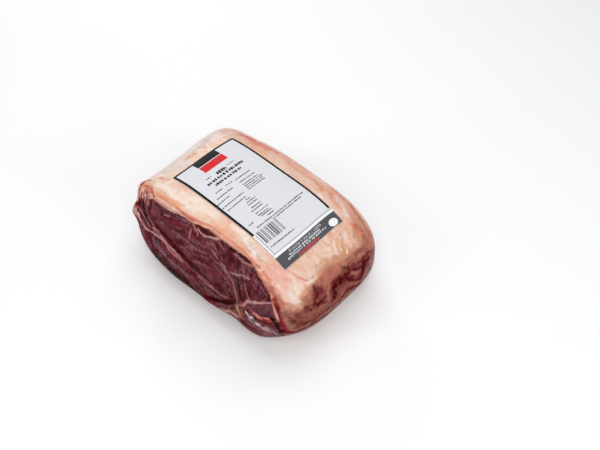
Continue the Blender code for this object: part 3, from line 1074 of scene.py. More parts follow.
# Strokes on the fat and over its edges, by area. On a line: the tone, the half width in millimetres, the
# strength and the raggedness from 0 to 1, and the route in pixels of the photograph.
FAT_AREAS = {
    # The pale pink film stroke among the streaks here is a painted highlight on a fold.
    "Far corner by the lean face: film drawn down in folds over bloody fat": """
    FAT_SALMON 2.8 0.8 0.2 141,187 141,192 140,197
    FAT_SALMON 3.2 0.75 0.3 143,185 147,187 151,190
    FAT_CORAL 2.4 0.45 0.3 143,187 147,190 151,191
    FAT_PINK 0.9 0.95 0.1 146,184 150,183 153,182
    MEAT_RED 1.1 1 0.1 144,182 147,181 151,180
    LEAN_BLOOD 1.4 1 0.1 141,185 143,183
    FAT_RED 1.1 0.7 0.1 144,186 147,186 149,188 152,188
    FAT_RED 1 0.9 0.1 147,188 147,191 146,194
    FAT_PINK 0.9 0.7 0.1 144,188 144,191
    FAT_PINK 0.9 0.7 0.1 149,189 150,191
    FAT_SALMON 3.2 0.75 0.4 150,188 153,192 154,196
    FAT_RED 1.5 0.75 0.3 152,190 153,193 154,196
    FILM_BLUSH 1.4 0.8 0.2 148,193 150,192 151,193
    FAT_ROSE 1 0.8 0.2 143,191 143,194 144,197
    LEAN_ROSE 1.3 0.9 0.2 145,190 144,194 144,198
    LEAN_BRIGHT 1.4 0.95 0.1 140,188 139,191 139,195
    LEAN_CRIMSON 1.2 0.9 0.1 142,193 141,196 142,199
    LEAN_CRIMSON 1.4 1 0.1 138,197 141,199 144,200
    FILM_ROSE 1 0.9 0.1 145,197 145,200 145,203
    LEAN_ROSE 1.3 0.9 0.2 147,192 147,198 147,202
    FILM_ROSE 1.3 0.95 0.1 149,196 148,200 148,205
    FILM_PINK 1.2 0.8 0.3 149,194 151,196
    LEAN_BRIGHT 1.4 1 0.1 138,201 141,200 143,201
    LEAN_BRIGHT 2.6 1 0.1 135,203 138,205 140,207
    BLOOD_DARK 1.9 1 0.1 136,202 138,204 139,206
    LEAN_BLOOD 2 1 0.1 139,202 141,203 144,203
    LEAN_BLACK 2.4 1 0.1 142,204 143,206 143,208
    MEAT_ROSE 1 0.9 0.1 135,206 138,207
    FAT_PINK 1.8 1 0.1 134,208 134,210 135,213
    FAT_CREAM 1.2 0.95 0.1 136,209 136,212 138,215
    FAT_ROSE 1.1 0.9 0.1 138,212 139,215
    """,
    # The two broad ivory strokes along this part are a painted highlight, the film's glossy streak over the
    # fat.
    "Fat by the lean face, far part": """
    FAT_CORAL 2.8 0.85 0.25 157,194 160,196 166,199 172,203 177,207
    FAT_SALMON 1.2 0.5 0.3 155,195 161,198 167,201 173,205
    FAT_PEACH 2 0.7 0.3 154,188 158,189 163,191
    FAT_IVORY 3.2 0.95 0.2 157,184 163,186 169,190 174,195 180,200 187,206
    FAT_IVORY 1.6 0.9 0.2 168,189 172,193 176,197
    FAT_ORANGE 1.1 0.8 0.2 176,201 180,204 184,206
    FAT_ORANGE 1.2 0.7 0.3 160,178 165,180 168,181
    FAT_PEACH 1.4 0.6 0.3 170,184 176,187 181,191
    FAT_SALMON 2 0.7 0.3 157,199 161,202 166,205 171,208
    FAT_BAND 1.1 0.85 0.3 160,203 164,206 168,208 173,211 180,214
    FAT_PINK 1 0.9 0.2 165,204 168,206 172,209
    FAT_BAND 1 0.8 0.3 182,214 188,219 194,223
    FAT_ORANGE 1.1 0.9 0.2 165,201 170,204 175,207 179,210
    FAT_SALMON 1.3 1 0.1 176,208 184,213 190,217 196,220 203,224
    FAT_RED 0.8 0.9 0.1 181,212 185,215 189,218 194,221
    FAT_CREAM 1.6 0.7 0.3 184,208 191,213 198,217
    """,
    # The white stroke here is the film's sheen over the fat, painted.
    "Fat by the lean face, middle": """
    FAT_ORANGE 2.6 0.65 0.3 212,222 220,229 228,234 236,241 243,247 248,252
    FAT_PEACH 1.6 0.8 0.3 205,216 214,222 222,227
    FAT_SALMON 1.1 1 0.15 205,224 212,227 220,233 228,239 236,245 244,252 251,259 255,263
    FAT_BAND 1 0.8 0.3 212,231 218,236 226,242 233,247 239,252
    FAT_IVORY 2.4 0.75 0.3 232,225 240,232 247,239 253,247 259,254 265,262
    FILM_WHITE 1.5 0.8 0.3 243,239 249,246 253,251 257,257
    FAT_SALMON 0.9 0.5 0.3 246,246 248,249 251,252
    FAT_TAN 0.9 0.6 0.3 257,255 261,260 266,264 271,270
    FAT_PINK 2.2 0.6 0.3 258,261 263,267 268,273 273,280
    FAT_RED 1 0.85 0.2 257,265 260,268
    FAT_SALMON 1 0.85 0.2 252,262 257,270 262,276
    FAT_SALMON 1.7 0.85 0.2 263,272 267,278 270,284 272,290
    FAT_ORANGE 1.6 0.7 0.3 274,284 277,290 279,295
    FAT_RED 1.3 0.85 0.2 270,289 273,294 276,299
    SKIN_ROSE 1.3 0.75 0.3 258,273 262,279 266,285 270,292
    SKIN_ROSE 1.2 0.75 0.3 208,230 213,233 218,237
    """,
    # The broad ivory stroke and the white one over it are a painted highlight on the fat.
    "Fat by the label's foot": """
    FAT_ROSE 1.8 0.75 0.3 272,265 276,267 280,268
    FAT_ROSE 1.2 0.65 0.3 275,271 277,276
    FAT_ROSE 5 0.5 0.5 270,266 276,273 280,280 283,288
    FAT_RED 0.7 0.55 0.1 286,270 291,273 297,276
    FAT_ROSE 1 0.95 0.2 287,270 292,274 298,277 304,280 311,281
    FAT_SALMON 0.8 0.7 0.2 298,277 304,280 309,281
    FAT_ROSE 1.8 0.65 0.3 282,277 287,280 290,280
    FAT_SALMON 2 0.65 0.5 280,299 284,303 287,305
    FAT_RED 0.8 0.75 0.3 281,301 284,304
    FAT_IVORY 4.2 0.4 0.3 288,293 293,296 298,288
    FILM_WHITE 1.5 0.6 0.3 291,294 294,299
    FAT_IVORY 1.6 0.7 0.3 308,282 312,280
    FAT_PEACH 1.2 0.7 0.3 284,287 287,291
    """,
    # The faint glassy stroke is the film's sheen by the lean's edge, painted.
    "The crease where the lean face meets the near end": """
    SKIN_TAN 4.6 0.75 0.4 283,308 288,308 294,310
    SKIN_BROWN 4.4 0.8 0.4 284,314 286,320 288,327
    SKIN_BROWN 3 0.75 0.4 287,313 292,313 296,316
    SKIN_ROSE 2.8 0.8 0.4 272,290 275,296 279,302 282,308
    SKIN_ROSE 1.8 0.8 0.4 264,281 267,285 271,290
    FAT_SALMON 1.8 0.6 0.4 267,277 271,281
    FILM_GLASS 1.8 0.35 0.5 250,243 256,250 262,258
    FAT_SALMON 1 0.8 0.3 271,296 273,302 274,308 276,315
    MEAT_ROSE 1 0.8 0.3 285,317 285,322
    LEAN_BRIGHT 2.3 1 0.2 274,300 277,306 279,312 281,318 282,324
    LEAN_CRIMSON 1 1 0.1 275,304 277,310 279,316 281,322
    LEAN_BRIGHT 2.4 1 0.2 283,326 286,330 289,332
    LEAN_BLOOD 1.3 0.95 0.2 283,330 287,333 292,332
    """,
    # The white strokes are painted wet glints on the film, and the thin rose stroke down the right rim from
    # its far end is painted shade along that rim.
    "Near end: tan and brown grounds": """
    TAN_GOLD 1.6 0.3 0.5 316,283 318,277 321,271 326,265
    FAT_CREAM 2.4 0.5 0.5 315,274 320,266 326,260
    FAT_CREAM 1.4 0.85 0.3 313,282 316,277
    SKIN_ROSE 4.6 0.9 0.3 322,283 327,277 332,271 339,267
    SKIN_ROSE 2.6 0.8 0.3 344,263 350,259 356,255
    SKIN_BROWN 2.8 0.8 0.3 355,254 361,251 367,249
    SKIN_ROSE 3.6 0.85 0.3 357,226 362,232 365,240 367,247
    SKIN_TAN 3.6 0.75 0.4 351,205 356,213 361,220 366,228 370,236
    FAT_SALMON 2.6 0.85 0.4 352,224 357,228 359,234
    FAT_RED 0.8 0.6 0.3 354,225 356,229
    SKIN_ROSE 1.7 0.6 0.4 349,203 355,211 361,219 366,228 370,238 371,248
    TAN_GOLD 1.5 0.7 0.4 351,230 349,235 350,240
    TAN_GOLD 1.6 0.8 0.4 342,239 342,245 344,252
    TAN_GOLD 1.2 0.8 0.3 346,244 348,249 349,253
    TAN_GOLD 1.2 0.7 0.3 338,239 337,245 339,251
    FAT_ORANGE 0.9 0.7 0.2 331,240 330,246
    FAT_ROSE 1.2 0.6 0.3 325,243 327,247
    FAT_ORANGE 0.9 0.7 0.2 332,248 332,253
    FILM_WHITE 1 0.65 0.3 345,232 345,238
    FILM_BLUSH 0.8 0.6 0.2 340,234 341,237
    FAT_PINK 2.2 0.9 0.3 352,239 356,241 357,245
    FILM_WHITE 1 0.5 0.3 353,239 355,242
    FILM_WHITE 0.9 0.65 0.3 336,249 336,254
    FAT_IVORY 0.9 0.9 0.2 347,248 347,253
    FAT_IVORY 0.9 0.8 0.2 330,248 331,253
    FAT_IVORY 0.9 0.8 0.2 334,240 334,246
    FAT_TAN 3.6 0.5 0.5 302,301 306,297 310,291
    SKIN_ROSE 2.2 0.6 0.4 306,300 309,296 312,292
    FAT_ORANGE 1.6 0.85 0.3 302,294 306,293
    SKIN_ROSE 2 0.75 0.3 306,305 309,301 311,298
    FAT_TAN 2.6 0.7 0.4 289,305 295,307 301,305
    SKIN_ROSE 2 0.8 0.3 288,312 293,313 298,311
    SKIN_BROWN 3.4 0.8 0.3 290,318 296,315 303,314 312,312
    SKIN_BROWN 3.4 0.8 0.3 306,319 314,316 322,310 330,306
    SKIN_SAND 1.6 0.55 0.4 286,320 288,325 291,328
    """,
    # The glassy stroke along the right edge is the film's sheen there, painted.
    "Near end: lean showing through the silverskin in patches": """
    BLOOD_ROSE 7 0.5 0.5 338,292 345,285 353,278 361,270 366,262
    BLOOD_ROSE 4 0.4 0.5 316,292 320,297 318,302
    BLOOD_RUST 2.2 0.75 0.4 291,318 294,322 297,324
    BLOOD_RUST 2.4 0.5 0.4 297,315 300,319 302,323
    BLOOD_DARK 1.3 0.8 0.3 303,323 307,323 311,321
    BLOOD_RUST 1.1 0.8 0.3 315,319 319,317
    BLOOD_CORE 1.7 0.8 0.3 314,287 315,290 316,291
    BLOOD_ROSE 2 0.95 0.3 321,289 322,293
    BLOOD_RUST 1.2 0.9 0.2 317,288 319,288
    BLOOD_RUST 2.2 0.95 0.2 318,293 316,297 315,301 314,304
    BLOOD_DARK 2.2 1 0.3 314,304 318,305 320,302 322,301
    BLOOD_CORE 1 0.9 0.2 318,305 320,303
    BLOOD_CORE 1.2 0.95 0.2 323,299 325,297 326,296
    BLOOD_ROSE 1.1 0.8 0.3 322,303 326,303
    SKIN_MAUVE 1.2 0.5 0.2 309,305 311,306
    BLOOD_DARK 1.6 0.9 0.3 305,309 307,308 309,310 311,310
    BLOOD_ROSE 1.2 0.9 0.3 306,311 306,313
    SKIN_ROSE 1.2 0.7 0.2 327,292 326,288
    SKIN_ROSE 1.4 0.8 0.2 329,287 328,293 329,300
    BLOOD_RUST 2.2 0.95 0.2 332,283 336,280 340,278
    BLOOD_DARK 3.1 1 0.3 340,278 341,282 343,280 345,276
    BLOOD_CORE 1.8 0.8 0.3 340,282 342,282
    BLOOD_DARK 3.1 1 0.3 336,284 333,288 334,293 335,297
    BLOOD_CORE 2 0.7 0.3 334,286 337,286
    BLOOD_CORE 1.3 1 0.2 335,292 337,293
    BLOOD_CORE 1.1 0.9 0.2 334,296 334,299
    BLOOD_RUST 1.2 0.8 0.3 332,300 332,304
    BLOOD_DARK 2.6 1 0.3 344,279 346,275 349,272
    BLOOD_RUST 2.2 0.85 0.3 343,269 348,268
    BLOOD_ROSE 1.6 0.9 0.3 344,281 347,280
    BLOOD_DARK 2.2 0.95 0.3 352,270 356,269 360,267
    BLOOD_ROSE 2.4 0.85 0.3 351,267 356,264 360,261
    BLOOD_DARK 1.9 1 0.3 369,257 367,260 365,262
    BLOOD_CORE 1 1 0.2 369,257 368,260
    BLOOD_DARK 3.8 1 0.3 364,262 364,267 363,271 361,276
    BLOOD_CORE 1.5 1 0.2 363,263 362,267 363,271 362,274
    BLOOD_DARK 2.8 1 0.3 361,277 357,279 352,280 348,279
    MEAT_RED 0.9 0.7 0.2 354,278 358,277
    BLOOD_DARK 2.4 1 0.3 360,283 356,286 351,288
    SKIN_ROSE 1.7 0.85 0.3 352,273 357,273
    SKIN_BROWN 1.6 0.8 0.3 341,288 345,286 348,284
    SKIN_BROWN 1.6 0.85 0.3 351,283 355,283
    SKIN_BROWN 1.8 0.85 0.3 338,300 341,297 342,290
    BLOOD_DARK 2.4 1 0.3 348,289 345,292 343,296
    SKIN_BROWN 1.8 0.7 0.3 372,258 370,264 367,270
    SKIN_MAUVE 1.2 0.7 0.3 374,250 372,256 370,262
    FILM_GLASS 0.9 0.7 0.2 373,238 374,246 374,254 372,262
    BLOOD_ROSE 1.1 0.7 0.3 369,264 367,267
    BLOOD_RUST 1.8 0.8 0.3 369,252 366,255 363,258
    SKIN_MAUVE 1.4 0.8 0.2 368,268 366,275 362,281
    """,
    # The deep stroke along the bottom edge is painted shade, where the near end turns under.
    "The film's seam low round the near end": """
    BLOOD_RUST 2.6 0.55 0.3 298,327 308,322 318,316 328,309 338,301 348,292
    LEAN_DEEP 1.6 0.85 0.2 293,333 300,330 310,325 320,319 330,312 340,304 349,295 357,287
    """,
    # The white stroke is a painted highlight along a crease of the film.
    "Back of the fat cap: salmon rim and blots": """
    FAT_SALMON 4 0.7 0.4 236,132 246,137 256,142 268,149
    FAT_RED 2.4 0.8 0.4 241,134 248,137 255,141
    FAT_RED 1.8 0.7 0.5 260,143 269,148 278,153
    FAT_SALMON 2.2 0.8 0.45 271,149 278,153
    FAT_ORANGE 5 0.5 0.5 227,130 234,130 237,133
    FAT_SALMON 2.4 0.7 0.45 317,184 322,190
    FAT_SALMON 1.8 0.8 0.45 329,194 332,198
    FILM_WHITE 2.6 0.6 0.5 336,197 342,206 347,215
    FAT_RED 1.3 0.6 0.4 323,181 333,189 343,199 354,210 361,218
    LEAN_MAROON 1.6 0.7 0.5 294,159 310,170 323,180
    """,
    "Far shoulder": """
    FAT_ORANGE 2.4 0.8 0.45 188,157 192,156 195,154
    FAT_SALMON 1.8 0.5 0.45 158,178 164,178 169,180
    """,
}

# Strokes on the lean only, in the same form.
LEAN_AREAS = {
    # The wide black strokes and the broad deep one along the bottom are painted shade where the lean face
    # turns under; the smoky and silvery strokes are the film's haze and sheen, painted.
    "Lean face: under the rope": """
    FILM_SMOKE 3 0.8 0.6 153,238 157,245 163,252 170,259 177,266
    LEAN_DEEP 3.4 0.6 0.4 156,252 163,260 171,268 180,276 190,283
    FILM_SILVER 0.9 0.9 0.3 154,240 156,245 158,248
    FILM_SILVER 0.8 0.9 0.3 157,240 159,244
    FILM_SILVER 1.3 0.9 0.4 159,249 163,253 166,255
    FILM_SILVER 0.8 0.9 0.3 160,254 162,257
    FILM_SILVER 1.2 0.9 0.4 168,259 172,263 176,265
    FILM_SILVER 0.7 0.9 0.3 170,264 174,268
    FILM_SMOKE 2.6 0.6 0.5 182,270 190,278 198,285
    FILM_SMOKE 1.4 0.7 0.4 183,272 188,276
    FILM_SMOKE 1.4 0.8 0.4 193,279 198,284
    LEAN_MAUVE 2 0.6 0.4 200,284 207,290 214,295
    LEAN_BLOOD 1.4 0.95 0.2 150,237 151,242 153,247
    LEAN_BLOOD 1 0.9 0.2 155,239 156,243
    LEAN_CRIMSON 1 0.85 0.2 160,240 160,244 161,247
    LEAN_CRIMSON 1.2 0.95 0.2 164,247 166,249
    LEAN_BLOOD 1.3 0.9 0.2 168,254 167,258
    LEAN_CRIMSON 0.9 0.85 0.2 169,256 172,256
    LEAN_BLOOD 1.6 0.95 0.2 174,256 176,260 177,263
    LEAN_BRIGHT 1.2 0.85 0.3 180,263 182,267
    LEAN_BLOOD 1.1 0.85 0.3 155,250 159,250
    LEAN_BLOOD 1 0.85 0.3 163,256 166,259
    LEAN_BLOOD 1.2 0.8 0.3 190,269 194,274 197,280
    LEAN_DEEP 1.3 0.8 0.3 184,275 188,280
    LEAN_BLACK 4 1 0.2 158,258 164,264 170,270 176,275
    LEAN_BLACK 4.4 1 0.2 176,275 182,280 188,284 195,289
    LEAN_BLACK 2.6 0.9 0.3 152,249 155,254 158,258
    LEAN_BLACK 1.8 0.75 0.3 195,289 201,293 206,297
    LEAN_CRIMSON 1.5 1 0.2 146,232 146,235 147,239
    LEAN_BRIGHT 0.8 0.9 0.2 146,232 146,236
    FILM_TAN 0.8 0.8 0.2 181,269 185,275 190,282 195,288 199,292
    LEAN_BLOOD 1.1 0.85 0.3 200,284 204,289 206,294
    LEAN_BLACK 1.1 0.8 0.3 208,287 212,293
    LEAN_BLACK 1 0.8 0.3 214,292 219,297
    FILM_DUSK 0.9 0.7 0.4 203,284 209,290 214,296
    """,
    # Along the rope, the palest pink strokes are painted highlights on the fold; the black lines by the
    # valley are painted shade in it.
    "The rope of film and the blood-dark valley over it": """
    FILM_BLUSH 1.9 1 0.1 136,212 139,217 142,223 146,228
    FAT_PINK 0.8 0.9 0.1 137,213 139,217 141,221
    LEAN_BRIGHT 0.8 0.7 0.1 141,222 144,227
    FILM_PINK 1.3 1 0.1 145,228 149,230 153,233
    FILM_PINK 2 1 0.1 153,233 158,237 162,240
    FILM_ROSE 2.5 1 0.1 160,237 165,243 170,249 175,254
    FILM_ROSE 1.7 1 0.1 175,254 179,258 183,262
    FILM_PINK 1 0.9 0.1 161,237 166,243 171,248 176,253 180,257
    FAT_PINK 0.7 0.8 0.1 172,250 176,254
    LEAN_ROSE 0.9 0.9 0.1 166,247 170,252 175,257
    FILM_BLUSH 0.8 0.9 0.1 169,250 173,254 177,258
    FAT_SALMON 0.7 0.7 0.2 167,247 170,249
    SKIN_RUST 0.7 0.8 0.2 170,249 173,252 176,255
    LEAN_CRIMSON 1.4 0.9 0.1 183,262 188,267 193,271 198,275
    LEAN_ROSE 0.8 0.8 0.1 186,265 192,270 198,275
    FILM_ROSE 1.1 1 0.1 199,276 203,280 207,284
    FILM_TAN 1.3 0.9 0.1 203,280 209,285 215,290 221,295 227,298
    FILM_ROSE 0.7 0.7 0.1 207,284 212,288 218,292
    LEAN_BLOOD 2.2 1 0.1 153,221 158,227 163,233 168,239 173,245 179,252 186,259 192,266
    LEAN_BLOOD 1.6 1 0.1 192,266 197,270 203,276 210,282 216,288
    LEAN_CRIMSON 1.6 0.55 0.2 155,224 160,231 166,238 172,245
    LEAN_BLACK 0.8 0.6 0.1 153,221 157,226 162,233
    LEAN_BLACK 1.4 1 0.1 138,209 141,213 144,218 147,223
    LEAN_BLACK 1.4 1 0.1 143,208 145,213 147,218 150,221
    LEAN_BLOOD 1.2 1 0.1 148,221 150,224 152,227
    FILM_ROSE 0.9 1 0.1 139,208 142,213 145,218 148,223 150,227
    FILM_ROSE 0.8 0.9 0.1 148,217 151,221 154,225
    FILM_DUSK 2 0.9 0.2 153,228 156,230 158,232
    FILM_PINK 0.8 0.8 0.2 154,228 156,230
    LEAN_CRIMSON 0.9 0.9 0.2 146,225 149,227 152,229
    LEAN_CRIMSON 0.7 0.8 0.2 152,230 155,232
    """,
    "The fan of folds under the far corner": """
    LEAN_DEEP 1 0.9 0.2 152,200 151,205 150,210 150,214
    FILM_SMOKE 0.9 0.85 0.2 154,201 153,206 152,212
    FILM_DUSK 1.5 0.85 0.3 155,201 159,203
    FILM_MAUVE 1 0.8 0.3 158,204 162,208
    LEAN_DEEP 1.6 0.9 0.3 156,204 157,206
    LEAN_DEEP 1.2 0.85 0.3 158,206 161,208
    LEAN_RUST 1.3 0.85 0.3 158,210 158,216
    LEAN_DEEP 0.9 0.8 0.2 149,206 149,212 151,217
    FILM_MAUVE 0.8 0.9 0.2 146,202 147,207 147,213 150,218
    FILM_MAUVE 0.8 0.85 0.2 153,213 155,219 159,223
    LEAN_DEEP 1.2 0.75 0.3 153,216 156,219
    LEAN_MAUVE 1.6 0.8 0.3 164,211 168,213 173,214
    FILM_MAUVE 0.7 0.75 0.3 160,205 166,209 173,213
    LEAN_DEEP 1.2 0.7 0.3 163,210 170,214 178,218
    """,
    # The pale pink and silvery strokes are painted highlights and sheen on the film; the deep and black lines
    # just under the fat's edge are painted shade below the fat cap.
    "Upper lean: threads of silverskin and soft patches": """
    LEAN_BRIGHT 3 0.45 0.5 163,219 172,222 182,226
    LEAN_RUST 2.2 0.6 0.5 184,221 190,224
    FILM_ROSE 0.8 0.8 0.2 164,214 167,216 170,216
    LEAN_BLOOD 0.9 0.95 0.1 164,218 168,219 171,219
    FILM_SMOKE 1.4 0.7 0.3 177,217 181,218 185,220
    FILM_SILVER 1.2 0.7 0.3 183,220 187,221 190,223
    FILM_DUSK 0.9 0.9 0.2 172,231 176,233 180,236 184,239
    FILM_DUSK 0.8 0.8 0.2 160,222 164,223
    FILM_DUSK 0.8 0.8 0.2 177,236 180,238
    LEAN_BLOOD 1 0.75 0.3 175,238 178,238
    LEAN_BLOOD 1.6 0.6 0.4 168,227 176,231 184,232
    FILM_MAUVE 2.6 0.55 0.4 172,234 176,237
    LEAN_DEEP 2 0.6 0.4 172,238 180,242 188,245
    LEAN_CRIMSON 1.2 0.8 0.2 185,244 190,247
    FILM_DUSK 0.7 0.8 0.2 180,247 186,248 192,249
    FILM_DUSK 0.7 0.8 0.2 186,241 192,245 196,248
    FILM_MAUVE 2 0.6 0.4 185,252 190,255
    FILM_ROSE 1 1 0.1 191,229 190,233 189,238
    LEAN_CRIMSON 1 0.85 0.2 191,234 191,238
    SKIN_TAN 1.3 0.8 0.4 193,223 195,228 198,233
    SKIN_TAN 0.9 0.9 0.2 195,229 198,233 197,237
    FAT_SALMON 0.7 0.8 0.2 194,226 195,230
    LEAN_BLOOD 1.4 0.8 0.3 193,232 195,236 200,240
    LEAN_DEEP 1.6 0.8 0.3 203,229 209,233 215,236
    FILM_PINK 1.1 1 0.1 198,229 201,233 204,236 210,237 218,239
    FILM_MAUVE 0.7 0.8 0.3 204,233 208,236
    FILM_ROSE 0.8 0.9 0.2 207,243 209,244
    FILM_DUSK 1.3 0.8 0.4 211,244 214,246 216,249
    SKIN_RUST 0.9 0.8 0.3 205,246 208,248
    FILM_DUSK 0.8 0.8 0.3 191,240 198,243 206,247
    FILM_DUSK 0.8 0.8 0.3 188,246 197,249 206,253
    FILM_DUSK 0.8 0.8 0.3 192,253 200,255 208,259
    FILM_DUSK 0.8 0.8 0.3 193,261 202,264 208,268
    LEAN_DEEP 0.9 0.7 0.4 190,243 199,246 208,251
    LEAN_DEEP 0.9 0.7 0.4 186,249 195,252 205,257
    LEAN_DEEP 1 0.7 0.4 193,257 201,260 208,264
    LEAN_DEEP 1.6 0.8 0.3 216,243 219,251 219,260
    FILM_MAUVE 0.7 0.8 0.3 210,251 216,253 223,253
    FILM_GREY 1.6 0.7 0.3 225,247 227,255 226,263
    LEAN_BLOOD 1.3 0.7 0.3 232,249 232,257 230,265
    LEAN_RUST 2 0.7 0.3 236,259 235,266 232,271
    LEAN_BLACK 1.3 0.95 0.2 231,248 237,254 246,258 252,263
    FILM_ROSE 1 0.85 0.4 236,254 238,257 241,260
    FILM_ROSE 1 1 0.2 242,261 247,264 252,266 255,269
    FILM_DUSK 0.7 0.8 0.5 243,266 247,269 250,273
    FILM_DUSK 0.7 0.8 0.5 240,268 245,272 248,275
    LEAN_DEEP 1.2 0.85 0.3 253,268 257,275 262,283 267,290
    FILM_DUSK 0.7 0.85 0.5 255,281 260,287 265,293 267,297
    FILM_DUSK 0.7 0.8 0.5 258,280 263,286 268,293
    LEAN_DEEP 2.6 0.6 0.5 250,286 256,292 262,298
    LEAN_CRIMSON 1 0.75 0.5 253,281 256,286
    """,
    # The black strokes in the valleys either side of the column are painted shade, and the pale pink ones
    # painted highlights on the film.
    "The gathered column": """
    LEAN_CRIMSON 1.3 0.9 0.3 211,262 213,267 216,273
    LEAN_BLACK 1.3 0.85 0.4 218,265 220,269 222,273
    FILM_DUSK 1 0.9 0.3 216,262 220,265 224,269
    FILM_DUSK 1.4 0.8 0.3 224,269 226,273 229,277 231,280
    FILM_PINK 0.8 0.8 0.2 224,269 226,272
    FILM_PINK 0.8 0.7 0.2 221,264 225,267
    LEAN_BLOOD 1 0.5 0.3 221,276 223,283 225,290
    LEAN_ROSE 1 0.85 0.3 228,280 230,286 232,292
    LEAN_BLACK 0.8 0.8 0.3 226,284 228,291 231,298
    FILM_MAUVE 0.6 0.8 0.3 217,270 220,278 224,287 229,296
    LEAN_BLACK 1.2 0.9 0.2 238,279 239,286 240,294 241,300
    LEAN_BLACK 0.8 0.85 0.2 234,283 235,291 235,299
    FILM_TAN 1 1 0.1 232,279 234,286 235,292
    FILM_ROSE 0.7 0.7 0.1 233,281 234,286 235,291
    SKIN_SAND 0.9 0.7 0.1 235,290 236,295 237,301
    FILM_TAN 1.2 0.9 0.2 237,300 237,305 237,310
    LEAN_RUST 1.2 0.8 0.4 242,287 243,293
    FILM_ROSE 0.6 0.85 0.3 240,284 243,285
    SKIN_TAN 0.7 0.9 0.3 245,288 247,294 248,300
    SKIN_RUST 0.8 0.85 0.4 241,291 243,297 246,302
    LEAN_BLACK 1 0.8 0.4 243,296 244,301
    FILM_PINK 0.7 0.9 0.2 231,273 236,275 241,275 246,278 250,279
    LEAN_DEEP 1 0.8 0.3 232,277 240,279 248,283
    """,
    # The hollow is darkened with blood-dark and black strokes, painted shade under the rope's end; the pale
    # pink stroke is a painted highlight.
    "Hollow and folds under the rope's end": """
    LEAN_BLOOD 2.2 0.95 0.2 205,297 212,299 220,301 228,301 235,301
    LEAN_BLACK 1.2 0.95 0.2 213,299 221,302 229,304 234,302
    LEAN_CRIMSON 1.3 0.9 0.3 205,300 213,304 221,307
    LEAN_ROSE 0.7 0.8 0.3 214,303 222,307 230,309
    LEAN_BLOOD 0.8 0.8 0.3 216,307 224,310
    SKIN_SAND 1.5 0.8 0.4 222,309 226,311 229,312
    SKIN_SAND 2.2 0.85 0.4 229,311 233,313 237,316
    FAT_PINK 0.8 0.6 0.3 224,311 228,312
    LEAN_BLACK 0.8 0.8 0.3 230,308 235,308
    SKIN_TAN 1.8 0.85 0.4 237,306 239,311 240,317
    SKIN_SAND 1 0.9 0.3 236,306 238,311
    SKIN_TAN 1.8 0.8 0.4 240,305 244,304 247,301
    FILM_PINK 0.9 0.85 0.3 243,305 246,303 248,301
    SKIN_BROWN 1.3 0.9 0.3 242,309 242,314 243,318
    FILM_TAN 0.8 0.85 0.3 245,308 245,315
    LEAN_BLACK 1 0.9 0.3 247,310 248,314 251,319
    """,
    # The white strokes are painted glints and the glassy ones painted reflections on the loose film; the pale
    # pink ones are painted highlights on its creases.
    "The glassy corner": """
    FILM_GREY 3.6 0.85 0.3 254,307 260,310 266,313 270,315
    FILM_PINK 1.5 0.95 0.3 247,301 251,302 255,303
    FAT_PINK 0.9 0.95 0.15 254,302 258,303 262,303
    FILM_PINK 0.8 0.95 0.15 261,303 266,303 271,303
    LEAN_BLACK 1.1 0.85 0.3 250,306 256,311 262,316 268,317
    MEAT_RED 1.4 0.95 0.3 249,308 253,312 258,316
    FAT_RED 1.7 0.95 0.3 258,317 263,319 269,320
    FAT_PINK 0.7 0.85 0.3 254,313 258,316 262,318
    FAT_PINK 0.6 0.8 0.3 264,318 268,319
    MEAT_RED 1 0.85 0.4 262,321 267,322 272,321
    LEAN_BLACK 1 0.9 0.3 254,317 260,321 266,323 271,323
    LEAN_BLACK 2.2 0.95 0.4 272,319 275,323 278,328 281,331
    FAT_RED 0.8 0.85 0.4 271,324 274,326
    FILM_GLASS 2.4 0.9 0.5 249,318 254,322 260,326 267,330
    LEAN_BLACK 0.9 0.9 0.3 252,320 256,323
    LEAN_BLACK 0.9 0.85 0.3 262,326 267,328
    FILM_WHITE 0.8 0.95 0.2 246,312 248,315
    FILM_WHITE 1 0.95 0.3 250,317 253,318
    FILM_WHITE 0.9 0.95 0.3 256,323 259,325
    FILM_WHITE 0.7 0.8 0.3 263,328 268,331
    FILM_GLASS 2.2 0.9 0.4 266,329 272,332 278,334
    FILM_WHITE 0.7 0.8 0.3 274,331 277,333
    LEAN_BLACK 0.9 0.9 0.3 270,330 275,331 279,334
    LEAN_BLACK 0.8 0.8 0.3 262,331 268,334
    FILM_ROSE 0.7 0.85 0.4 258,329 264,332 270,334
    LEAN_BLOOD 1.8 0.9 0.4 242,321 247,325 252,328
    LEAN_ROSE 1.2 0.75 0.4 256,330 263,334 270,336
    """,
}


def read_strokes(areas: dict[str, str]) -> tuple[Stroke, ...]:
    """Read strokes from tables.

    Args:
        areas: By area, a table with a stroke a line: its tone, half width, strength and raggedness, and its
            route's pixels, each as x,y.

    Returns:
        The strokes, in the order that they are laid.
    """
    strokes = []
    for line in "".join(areas.values()).splitlines():
        if not line.strip():
            continue
        tone, half_width, strength, ragged, *pixels = line.split()
        route = tuple(tuple(float(part) for part in pixel.split(",")) for pixel in pixels)
        strokes.append(Stroke(Tone[tone], float(half_width), float(strength), float(ragged), route))
    return tuple(strokes)


@dataclass(frozen=True)
class FatEnd:
    """How far down the fat reaches on a side: a height that may wander with noise. Millimetres."""

    face: Face
    height: float
    wander: float = 0.0
    grain_size: float = 10.0
    seed: int = 0

    def level(self, points: Array) -> Array | float:
        """Return the height at each point."""
        noise_there = grain(points, self.grain_size, self.seed) if self.wander else 0.0
        return self.height + self.wander * noise_there


